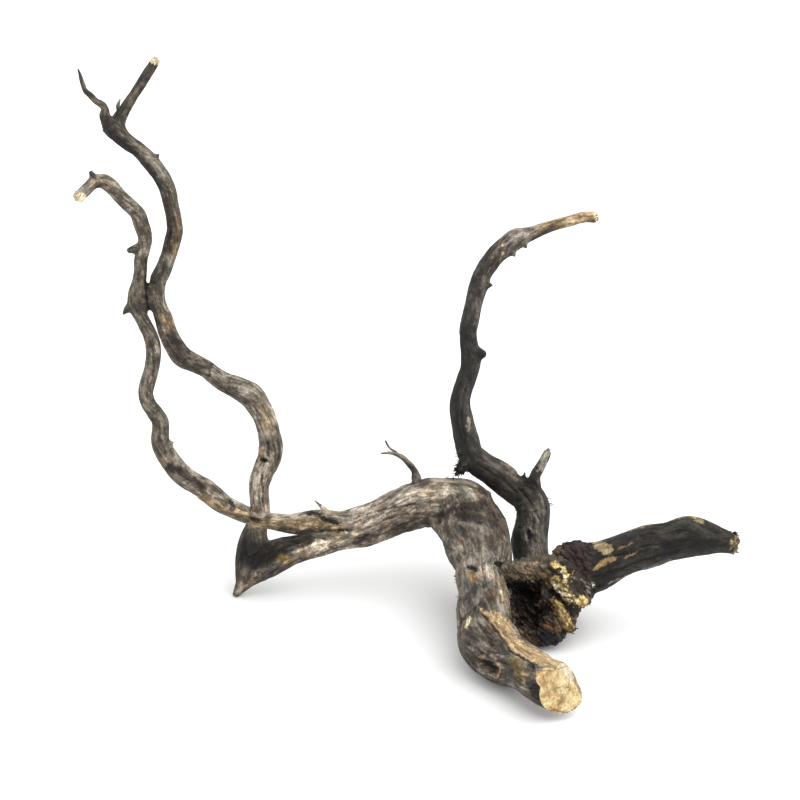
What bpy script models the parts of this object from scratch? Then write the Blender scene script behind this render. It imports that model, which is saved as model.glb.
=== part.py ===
"""Piece of driftwood: a fallen trunk with a rotten root crown, two long branches
grown together on the left, one branch and one root on the right.

Metres, +Z up.  The origin is the flat spot under the bend of the trunk, on the
surface that the piece stands on.  +X runs along the arm of the trunk toward the
right-hand root, and -Y is the side that the sawn end of the trunk points to.
"""
import math

import bpy
import bmesh
import numpy as np
from mathutils import Matrix, Vector

MM = 0.001

# Sighting frame.  The limbs are laid out as a carver would sight them from in
# front and a little above: millimetres across, up and near, where near is the
# distance in front of an upright sighting plane through the trunk's bend.
SIGHT_TILT = math.radians(22.0)
SIGHT_DISTANCE = 2000.0
EYE_ACROSS = -87.0
EYE_UP = 280.0
BEND_TO_ORIGIN = (-18.0, 5.5)

# Overall sizes in millimetres
RING_SPACING = 0.9
SHORTEST_SPACING = 5.0
LONGEST_SPACING = 15.0
FLOOR_SLAB = 60.0
WELD_DISTANCE = 0.00004

# Limb stations: across, up, near and radius, all in millimetres
TRUNK = [
    (-252, 84, -166, 3.8), (-249, 89, -165, 5.5), (-243, 98, -164, 9),
    (-233, 109, -163, 14), (-222, 118, -162, 17), (-206, 126, -162, 16.5),
    (-187, 132, -162, 14.5), (-167, 138, -162, 15), (-147, 148, -160, 19),
    (-127, 153, -158, 20.5), (-107, 160, -157, 21.5), (-87, 169, -156, 22.5),
    (-66, 176.5, -154, 24), (-46, 177, -150, 25), (-27, 173, -140, 27),
    (-15, 159, -122, 32), (-10.5, 140, -100, 33.5), (-5, 120, -77, 30),
    (-6, 100, -57, 24.5), (-4, 80, -38, 24.5), (-2, 60, -20, 27),
    (2, 40, -7, 29), (13, 23, 9, 28), (36, 11, 39, 25),
    (59, -3, 67, 25), (77, -12, 86, 26.5), (97, -24, 110, 27),
]
RIGHT_ROOT = [
    (13, 95, -88, 24), (41, 92, -98, 28), (69, 98, -95, 29),
    (93, 110, -84, 28), (113, 115, -76, 24), (128, 122, -71, 21.5),
    (143, 128, -67, 21.2), (163, 134, -62, 21.8), (183, 139, -57, 20),
    (203, 143.5, -52, 20.8), (218, 142, -48, 18), (233, 139.5, -45, 13.5),
    (246, 136, -42, 10.5), (258, 133, -39, 9),
]
RIGHT_BRANCH = [
    (51, 90, -108, 20), (46, 108, -118, 18.5), (44, 124, -126, 18),
    (43, 140, -132, 19), (45, 155, -136, 17.5), (45, 170, -139, 17),
    (40, 181, -141, 17), (28, 190.5, -143, 15), (16, 200, -146, 15),
    (4, 209, -149, 14.5), (-8.5, 217, -151, 14), (-17, 227, -152, 13),
    (-20, 240, -153, 13), (-23, 252, -154, 12), (-26, 265, -155, 11.5),
    (-27, 277, -156, 10.5), (-25, 288, -158, 10), (-21, 300, -160, 10),
    (-17, 313, -162, 10), (-16, 325, -163, 10.5), (-18, 337, -163, 9.4),
    (-19, 348, -163, 9.3), (-17, 360, -163, 9.5), (-14, 372, -164, 9.3),
    (-11, 384, -165, 9.4), (-8, 395, -167, 9.8), (-4, 406.5, -169, 9.4),
    (2, 416, -171, 9.8), (10, 426, -173, 9.8), (20, 434, -174, 10.8),
    (29, 441, -175, 10.5), (40, 445, -176, 8), (53, 450, -176, 6.6),
    (68, 455, -176, 6), (83, 459, -176, 5.8), (98, 463, -176, 5.7),
    (109, 463, -176, 6.3),
]
BACK_BRANCH = [
    (-225, 120, -164, 12), (-231, 135, -165, 13), (-231, 150, -166, 12),
    (-227, 170, -165, 10.5), (-228, 185, -163, 10.5), (-227.5, 198, -161, 10.8),
    (-223, 210, -158, 11), (-217.5, 222, -155, 12.5), (-216, 233, -152, 13),
    (-218, 245, -149, 12), (-222, 260, -146, 11.5), (-228, 273, -143, 12),
    (-236, 284, -140, 13), (-249, 292, -137, 12), (-265, 299.5, -133, 10),
    (-281, 311, -129, 9.5), (-293, 317, -126, 10), (-305, 325, -121, 11),
    (-312, 334, -117, 11), (-317.5, 349, -112, 10), (-323, 362, -108, 11),
    (-329, 378, -104, 8.3), (-330, 388, -102, 8.2), (-329, 399, -100, 8.5),
    (-324, 410, -98, 8.3), (-319, 423, -95, 8.3), (-315, 437, -92, 9),
    (-312, 450.5, -90, 9), (-313, 460, -88, 8.2), (-316, 475, -86, 8),
    (-319, 489.5, -84, 8.3), (-325, 503, -82, 8.7), (-336, 518, -80, 9),
    (-348, 530, -78, 7.8), (-361, 539, -77, 8.5), (-371, 549, -76, 10),
    (-379, 556, -75, 9),
]
BACK_LEFT_TWIG = [
    (-376, 554, -75, 9), (-382, 563, -74, 6), (-382.5, 571, -73, 4),
    (-386, 576, -72.5, 3.6), (-391, 579, -72, 3.2), (-397, 585, -70, 3),
    (-402, 590, -68, 2.6), (-405, 598, -66, 2.3), (-407, 605, -64, 1.6),
    (-409, 611, -62, 0.8),
]
BACK_RIGHT_TWIG = [
    (-371, 550, -77, 8.5), (-369, 558, -78, 8), (-363, 569, -80, 6.2),
    (-357, 579, -81, 5.5), (-349, 591, -82, 5.5), (-341, 604, -83, 5.3),
    (-333, 617, -84, 4.2), (-329, 622, -84, 3),
]
FRONT_BRANCH = [
    (-135, 152, -152, 14), (-149, 154, -149, 15), (-162, 155, -146, 15),
    (-177, 157, -142, 13), (-192, 156, -137, 11), (-204, 157, -132, 9.2),
    (-217, 159, -126, 8.5), (-229, 161, -121, 8.8), (-240, 165, -117, 9),
    (-252, 170, -113, 9.5), (-264, 176, -109, 10), (-274, 184, -105, 11),
    (-284, 192, -102, 11), (-296, 199, -99, 11), (-307, 207, -97, 11),
    (-315, 217, -95, 10.5), (-322, 228, -93, 10.5), (-326.5, 240, -92, 9.8),
    (-326.5, 250, -91, 9.3), (-327, 259, -90, 9), (-332, 267, -89, 8.5),
    (-338.5, 276, -89, 8), (-341, 287, -89, 7.8), (-339, 298, -90, 8),
    (-335.5, 310, -92, 8), (-333.5, 322, -94, 8), (-333.5, 333, -96, 7.8),
    (-337, 345, -98, 7.6), (-343, 358, -100, 8), (-347, 368, -101, 9),
    (-350, 377, -101, 10), (-349.5, 387, -99, 9), (-347.5, 399, -95, 7.6),
    (-346.5, 410, -90, 6.8), (-346, 422, -86, 7), (-343, 433, -82, 7.5),
    (-342, 442, -78, 7.6), (-345.5, 455, -74, 8), (-350, 467, -70, 8),
    (-359, 476, -66, 7.6), (-368, 485, -62, 7.5), (-376, 494, -59, 8),
    (-384, 499, -56, 8), (-392, 498, -53, 7), (-399, 492, -50, 6.2),
    (-407, 484, -47, 6), (-410, 481, -45.5, 6),
]
# The lump where the two left branches have grown together
GRAFT = [(-338, 395, -98, 4.5), (-339, 388, -100, 8.5), (-339, 377, -102, 9), (-338, 369, -103, 5)]

# The flat flare between the back branch and the heel
HEEL_WEB = [
    (-236, 153, -166, 7), (-240, 138, -165, 9), (-243, 122, -164, 9),
    (-244.5, 106, -163, 8), (-247, 95, -164, 5.5), (-250, 88, -165, 3.8),
]

# The rotten crown: an upper lip, a lower lobe and the mass behind them
CROWN_LIP = [
    (12, 106, -58, 10), (31, 110, -50, 10.5), (48, 110, -48, 10.5),
    (65, 112, -50, 12), (79, 106, -54, 12), (89, 95, -58, 11), (100, 88, -62, 9),
]
CROWN_LOBE = [
    (100, 92, -78, 13), (85, 78, -62, 13), (75, 63, -56, 15), (64, 50, -56, 15.5),
    (48, 46, -62, 14), (31, 52, -60, 13), (14, 60, -48, 12),
]
CROWN_BACK = [(20, 86, -92, 20), (48, 82, -104, 22), (72, 86, -106, 24), (95, 100, -92, 18)]
CROWN_SOLE = [(14, 66, -66, 15), (34, 64, -78, 19), (56, 64, -80, 18), (74, 72, -84, 15)]
CROWN_CHEEK = [(58, 100, -66, 13), (67, 89, -64, 17), (79, 82, -66, 17), (92, 88, -72, 14)]
CROWN_KNUCKLE = [(72, 100, -92, 22), (84, 112, -84, 20), (93, 124, -78, 15), (96, 134, -76, 8)]
# The hidden root foot behind the crown: x, y, z and radius on the bench
BACK_FOOT = [(30, 158, 44, 16), (32, 167, 26, 12.5), (33, 173, 10, 9), (33, 176, -4, 7)]

# Stubs, spurs and thorns
STUB = [
    (44, 187, -138, 10), (47, 196, -137, 7.5), (48, 204, -136, 6),
    (53, 213, -135, 5.2), (58, 222, -134, 4.2), (61.5, 231, -133, 2.5),
]
ARM_TWIG = [
    (-69, 192, -150, 8), (-71, 203, -147, 4.6), (-73, 210, -146, 3.2), (-79, 217, -144, 3),
    (-84, 222, -142, 2.5), (-90, 225.5, -140, 2.1), (-97, 227, -138, 1.6), (-106, 226.5, -136, 0.9),
]
ARM_TWIG_FORK = [
    (-87, 223.5, -141, 1.6), (-92, 228.5, -142, 1.3), (-96, 231, -143, 1.2),
    (-100, 236, -144, 1.0), (-101.5, 239.5, -144, 0.8),
]
ARM_SPUR = [(-148, 161, -142, 7), (-157, 168, -138, 4.8), (-166, 174, -136, 2.8), (-172, 180, -134, 1.0)]
SPURS = {
    "front_tip_spur": [(-391, 498, -52, 5), (-395, 505, -51.5, 3.5), (-397, 509.5, -51, 1.5)],
    "front_broken_spur": [(-344, 433, -82, 6), (-352, 431, -81, 4.8), (-359.5, 429, -80, 2.4)],
    "front_thorn": [(-351, 375, -101, 6), (-359, 370, -101, 4.2), (-363.5, 365, -101, 1)],
    "front_bud": [(-321, 235, -92, 5), (-316, 237, -91, 3), (-313, 238, -91, 1.2)],
    "back_bud": [(-336, 518, -80, 6), (-331, 523, -80, 3.5), (-328, 526, -80, 1.6)],
    "twig_thorn": [(-365, 566, -79, 4), (-369, 573, -78, 2.2), (-367, 581, -78, 0.9)],
    "right_knob": [(-14, 326, -162, 8), (-5, 326, -158, 6), (-1.5, 326, -156, 3.5)],
    "right_spur": [(-6, 396, -166, 7), (1, 395, -163, 4.5), (5.5, 394.5, -162, 2)],
    "right_lump_a": [(22, 434, -172, 7), (26, 427, -169, 4.5), (28, 423.5, -168, 2)],
    "right_lump_b": [(34, 441, -174, 6), (38, 435, -172, 3.8), (39, 431.5, -172, 1.8)],
    "right_thorn": [(33, 193, -140, 6), (37, 203, -135, 3), (38, 208, -133, 1)],
}

# Sawn and broken ends: a point and an outward normal in the sighting frame
TRUNK_SAW = ((73, -10, 86), (0.36, -0.26, 0.90))
TRUNK_CHIP = ((87, -4, 80), (0.80, 0.34, 0.49))
ROOT_SAW = ((248, 134, -41), (0.84, -0.20, 0.50))
CAVITY_CENTRE = (39, 82, -52)
CAVITY_RADII = (17.0, 24.0, 27.0)
CAVITY_ROOF_CENTRE = (48, 90, -64)
CAVITY_ROOF_RADII = (18.0, 12.0, 20.0)

WOOD_COLOUR = (0.145, 0.120, 0.098, 1.0)
WOOD_ROUGHNESS = 0.82


def sight_to_world(across, up, near):
    """Place a sighted point in the part's own frame, in millimetres."""
    scale = 1.0 - near / SIGHT_DISTANCE
    side = EYE_ACROSS + (across - EYE_ACROSS) * scale
    level = EYE_UP + (up - EYE_UP) * scale
    rise = math.sin(SIGHT_TILT)
    run = math.cos(SIGHT_TILT)
    return Vector((
        side + BEND_TO_ORIGIN[0],
        level * rise - near * run + BEND_TO_ORIGIN[1],
        level * run + near * rise,
    ))


def sight_direction(across, up, near):
    """Turn a direction in the sighting frame into the part's own frame."""
    rise = math.sin(SIGHT_TILT)
    run = math.cos(SIGHT_TILT)
    return Vector((across, up * rise - near * run, up * run + near * rise)).normalized()


def sighted(stations):
    """Centres and true radii of sighted stations."""
    rows = []
    for across, up, near, radius in stations:
        centre = sight_to_world(across, up, near)
        rows.append((centre.x, centre.y, centre.z, radius * (1.0 - near / SIGHT_DISTANCE)))
    return np.array(rows)


def smooth_path(rows):
    """Resample stations along a smooth curve, rings closer where it is thin."""
    rows = np.asarray(rows, dtype=float)
    steps = np.linalg.norm(np.diff(rows[:, :3], axis=0), axis=1)
    marks = np.concatenate(([0.0], np.cumsum(steps)))
    slopes = np.gradient(rows, marks, axis=0)
    out = []
    position = 0.0
    while position < marks[-1]:
        index = min(np.searchsorted(marks, position, side="right") - 1, len(steps) - 1)
        span = steps[index]
        t = (position - marks[index]) / span
        h00 = 2 * t ** 3 - 3 * t ** 2 + 1
        h10 = t ** 3 - 2 * t ** 2 + t
        h01 = -2 * t ** 3 + 3 * t ** 2
        h11 = t ** 3 - t ** 2
        row = h00 * rows[index] + h10 * span * slopes[index]
        row = row + h01 * rows[index + 1] + h11 * span * slopes[index + 1]
        row[3] = max(row[3], min(rows[index, 3], rows[index + 1, 3]) * 0.9)
        out.append(row)
        step = min(max(row[3] * RING_SPACING, SHORTEST_SPACING), LONGEST_SPACING)
        position += step
    if marks[-1] - (position - step) < 0.45 * step and len(out) > 2:
        out.pop()
    out.append(rows[-1])
    return np.array(out)


def limb_object(name, rows, sides, lobes, seed):
    """A closed tube along the rows, with lobed rings and domed ends."""
    path = smooth_path(rows)
    generator = np.random.default_rng(seed)
    phases = generator.uniform(0.0, 2.0 * math.pi, 4)
    drifts = generator.uniform(-0.02, 0.02, 4)
    points = [Vector(row[:3]) for row in path]
    radii = list(path[:, 3])
    count = len(points)
    tangents = []
    for index in range(count):
        ahead = points[min(index + 1, count - 1)]
        behind = points[max(index - 1, 0)]
        tangents.append((ahead - behind).normalized())
    side = tangents[0].orthogonal().normalized()
    mesh = bmesh.new()
    rings = []
    travelled = 0.0
    for index in range(count):
        if index:
            travelled += (points[index] - points[index - 1]).length
            side = (side - tangents[index] * side.dot(tangents[index])).normalized()
        other = tangents[index].cross(side)
        ring = []
        for corner in range(sides):
            angle = 2.0 * math.pi * corner / sides
            swell = 0.0
            for order in range(4):
                turn = (order + 1) * angle + phases[order] + drifts[order] * travelled * (order + 1)
                swell += math.cos(turn) / (order + 1.5)
            radius = radii[index] * (1.0 + lobes * swell)
            offset = side * math.cos(angle) + other * math.sin(angle)
            ring.append(mesh.verts.new((points[index] + offset * radius) * MM))
        rings.append(ring)
    for lower, upper in zip(rings, rings[1:]):
        for corner in range(sides):
            after = (corner + 1) % sides
            mesh.faces.new((lower[corner], lower[after], upper[after], upper[corner]))
    first_tip = mesh.verts.new((points[0] - tangents[0] * radii[0] * 0.35) * MM)
    last_tip = mesh.verts.new((points[-1] + tangents[-1] * radii[-1] * 0.35) * MM)
    for corner in range(sides):
        after = (corner + 1) % sides
        mesh.faces.new((rings[0][after], rings[0][corner], first_tip))
        mesh.faces.new((rings[-1][corner], rings[-1][after], last_tip))
    bmesh.ops.triangulate(mesh, faces=mesh.faces[:])
    bmesh.ops.recalc_face_normals(mesh, faces=mesh.faces[:])
    return guide_from(name, mesh)


def guide_from(name, mesh):
    """Store a bmesh as a hidden wire guide."""
    data = bpy.data.meshes.new(name)
    mesh.to_mesh(data)
    mesh.free()
    guide = bpy.data.objects.new(name, data)
    guide.hide_render = True
    guide.display_type = "WIRE"
    return guide


def half_space(name, point, normal):
    """A block whose near face is the cutting plane."""
    mesh = bmesh.new()
    bmesh.ops.create_cube(mesh, size=1.0)
    turn = normal.to_track_quat("Z", "Y").to_matrix().to_4x4()
    reach = FLOOR_SLAB * 2.0
    sizes = Matrix.Diagonal((reach, reach, reach, 1.0))
    place = Matrix.Translation((point + normal * reach * 0.5) * MM)
    mesh.transform(place @ turn @ Matrix.Scale(MM, 4) @ sizes)
    return guide_from(name, mesh)


def hollow(name, centre, radii):
    """An egg-shaped cutter in the sighting frame."""
    mesh = bmesh.new()
    bmesh.ops.create_icosphere(mesh, subdivisions=2, radius=1.0)
    middle = sight_to_world(*centre)
    axes = [sight_direction(1, 0, 0), sight_direction(0, 1, 0), sight_direction(0, 0, 1)]
    for vert in mesh.verts:
        wave = 1.0 + 0.10 * math.sin(5.0 * vert.co.x + 3.0 * vert.co.z) * math.cos(4.0 * vert.co.y)
        spot = middle.copy()
        for axis, radius, part in zip(axes, radii, vert.co):
            spot += axis * (part * radius * wave)
        vert.co = spot * MM
    return guide_from(name, mesh)


def floor_slab():
    """The surface below the piece, which cuts its feet flat."""
    mesh = bmesh.new()
    bmesh.ops.create_cube(mesh, size=1.0)
    sizes = Matrix.Diagonal((1600.0 * MM, 1600.0 * MM, FLOOR_SLAB * MM, 1.0))
    mesh.transform(Matrix.Translation((0.0, 0.0, -0.5 * FLOOR_SLAB * MM)) @ sizes)
    return guide_from("floor_cut", mesh)


def all_limbs():
    """Every limb, twig and spur as a closed tube."""
    limbs = [
        limb_object("limb_root", sighted(RIGHT_ROOT), 14, 0.035, 2),
        limb_object("limb_right_branch", sighted(RIGHT_BRANCH), 11, 0.04, 3),
        limb_object("limb_back_branch", sighted(BACK_BRANCH), 11, 0.04, 4),
        limb_object("limb_front_branch", sighted(FRONT_BRANCH), 10, 0.04, 5),
        limb_object("limb_heel_web", sighted(HEEL_WEB), 10, 0.03, 18),
        limb_object("limb_back_left_twig", sighted(BACK_LEFT_TWIG), 8, 0.03, 6),
        limb_object("limb_back_right_twig", sighted(BACK_RIGHT_TWIG), 10, 0.03, 7),
        limb_object("limb_graft", sighted(GRAFT), 10, 0.05, 8),
        limb_object("limb_crown_lip", sighted(CROWN_LIP), 11, 0.17, 9),
        limb_object("limb_crown_lobe", sighted(CROWN_LOBE), 12, 0.15, 10),
        limb_object("limb_crown_back", sighted(CROWN_BACK), 14, 0.06, 11),
        limb_object("limb_crown_sole", sighted(CROWN_SOLE), 12, 0.06, 19),
        limb_object("limb_crown_cheek", sighted(CROWN_CHEEK), 11, 0.13, 20),
        limb_object("limb_crown_knuckle", sighted(CROWN_KNUCKLE), 12, 0.16, 12),
        limb_object("limb_back_foot", BACK_FOOT, 12, 0.05, 13),
        limb_object("limb_stub", sighted(STUB), 10, 0.05, 14),
        limb_object("limb_arm_twig", sighted(ARM_TWIG), 9, 0.03, 15),
        limb_object("limb_arm_twig_fork", sighted(ARM_TWIG_FORK), 7, 0.02, 16),
        limb_object("limb_arm_spur", sighted(ARM_SPUR), 9, 0.05, 17),
    ]
    for number, (name, stations) in enumerate(SPURS.items()):
        limbs.append(limb_object("limb_" + name, sighted(stations), 8, 0.04, 30 + number))
    return limbs


def add_boolean(target, name, operation, collection):
    cut = target.modifiers.new(name, "BOOLEAN")
    cut.operation = operation
    cut.operand_type = "COLLECTION"
    cut.collection = collection
    cut.solver = "EXACT"
    cut.use_self = True


def wood_material():
    material = bpy.data.materials.new("driftwood")
    material.use_nodes = True
    shader = material.node_tree.nodes["Principled BSDF"]
    shader.inputs["Base Color"].default_value = WOOD_COLOUR
    shader.inputs["Roughness"].default_value = WOOD_ROUGHNESS
    shader.inputs["Metallic"].default_value = 0.0
    return material


def guide_collection(name, guides):
    collection = bpy.data.collections.new(name)
    bpy.context.scene.collection.children.link(collection)
    for guide in guides:
        collection.objects.link(guide)
    return collection


def main():
    for item in list(bpy.data.objects):
        bpy.data.objects.remove(item, do_unlink=True)

    trunk = limb_object("trunk_start", sighted(TRUNK), 18, 0.035, 1)
    wood = bpy.data.objects.new("driftwood", trunk.data)
    bpy.context.scene.collection.objects.link(wood)
    bpy.data.objects.remove(trunk)
    wood.data.materials.append(wood_material())

    limbs = guide_collection("limbs", all_limbs())
    cutters = guide_collection("cutters", [
        floor_slab(),
        half_space("trunk_saw", sight_to_world(*TRUNK_SAW[0]), sight_direction(*TRUNK_SAW[1])),
        half_space("trunk_chip", sight_to_world(*TRUNK_CHIP[0]), sight_direction(*TRUNK_CHIP[1])),
        half_space("root_saw", sight_to_world(*ROOT_SAW[0]), sight_direction(*ROOT_SAW[1])),
        hollow("cavity", CAVITY_CENTRE, CAVITY_RADII),
        hollow("cavity_roof", CAVITY_ROOF_CENTRE, CAVITY_ROOF_RADII),
    ])
    add_boolean(wood, "join_limbs", "UNION", limbs)
    add_boolean(wood, "cut_ends", "DIFFERENCE", cutters)

    # The joined solid is kept as a plain mesh with its tiny edges closed
    bpy.context.view_layer.update()
    joined = wood.evaluated_get(bpy.context.evaluated_depsgraph_get())
    solid = bpy.data.meshes.new_from_object(joined)
    wood.modifiers.clear()
    wood.data = solid
    wood.data.name = "driftwood"
    tidy = bmesh.new()
    tidy.from_mesh(solid)
    bmesh.ops.dissolve_degenerate(tidy, dist=WELD_DISTANCE, edges=tidy.edges[:])
    bmesh.ops.triangulate(tidy, faces=tidy.faces[:])
    tidy.to_mesh(solid)
    tidy.free()
    solid.shade_smooth()
    solid.set_sharp_from_angle(angle=math.radians(40.0))
    for guide in list(limbs.objects) + list(cutters.objects):
        guide.hide_viewport = True


main()
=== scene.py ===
"""The weathered surface of a branching piece of driftwood, with its studio.

The wood is laid out in a sighting frame: millimetres across, up and near, as
seen from in front and a little above.  Every limb is a smooth tube through listed
stations.  The tubes are fused, hollowed and given their grain.
"""
import math
from functools import partial

import bpy
import bmesh
import numpy as np
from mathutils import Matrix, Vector

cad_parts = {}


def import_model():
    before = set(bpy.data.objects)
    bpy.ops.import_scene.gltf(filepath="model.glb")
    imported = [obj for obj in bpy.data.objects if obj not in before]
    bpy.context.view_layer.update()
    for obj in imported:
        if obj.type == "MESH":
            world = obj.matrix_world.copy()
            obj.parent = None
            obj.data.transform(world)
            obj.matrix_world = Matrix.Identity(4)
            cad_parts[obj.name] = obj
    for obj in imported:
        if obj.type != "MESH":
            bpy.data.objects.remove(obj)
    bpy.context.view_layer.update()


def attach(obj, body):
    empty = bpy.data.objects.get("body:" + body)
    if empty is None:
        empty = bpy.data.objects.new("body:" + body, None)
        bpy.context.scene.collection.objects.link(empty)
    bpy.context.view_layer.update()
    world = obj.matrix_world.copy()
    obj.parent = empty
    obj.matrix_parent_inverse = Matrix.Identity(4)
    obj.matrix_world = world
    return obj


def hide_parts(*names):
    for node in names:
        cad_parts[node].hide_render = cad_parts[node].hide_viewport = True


MM = 0.001

# Sighting frame, the same as that of the solid
SIGHT_TILT = math.radians(22.0)
SIGHT_DISTANCE = 2000.0
EYE_ACROSS = -87.0
EYE_UP = 280.0
BEND_TO_ORIGIN = (-18.0, 5.5)
RISE = math.sin(SIGHT_TILT)
RUN = math.cos(SIGHT_TILT)

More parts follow.
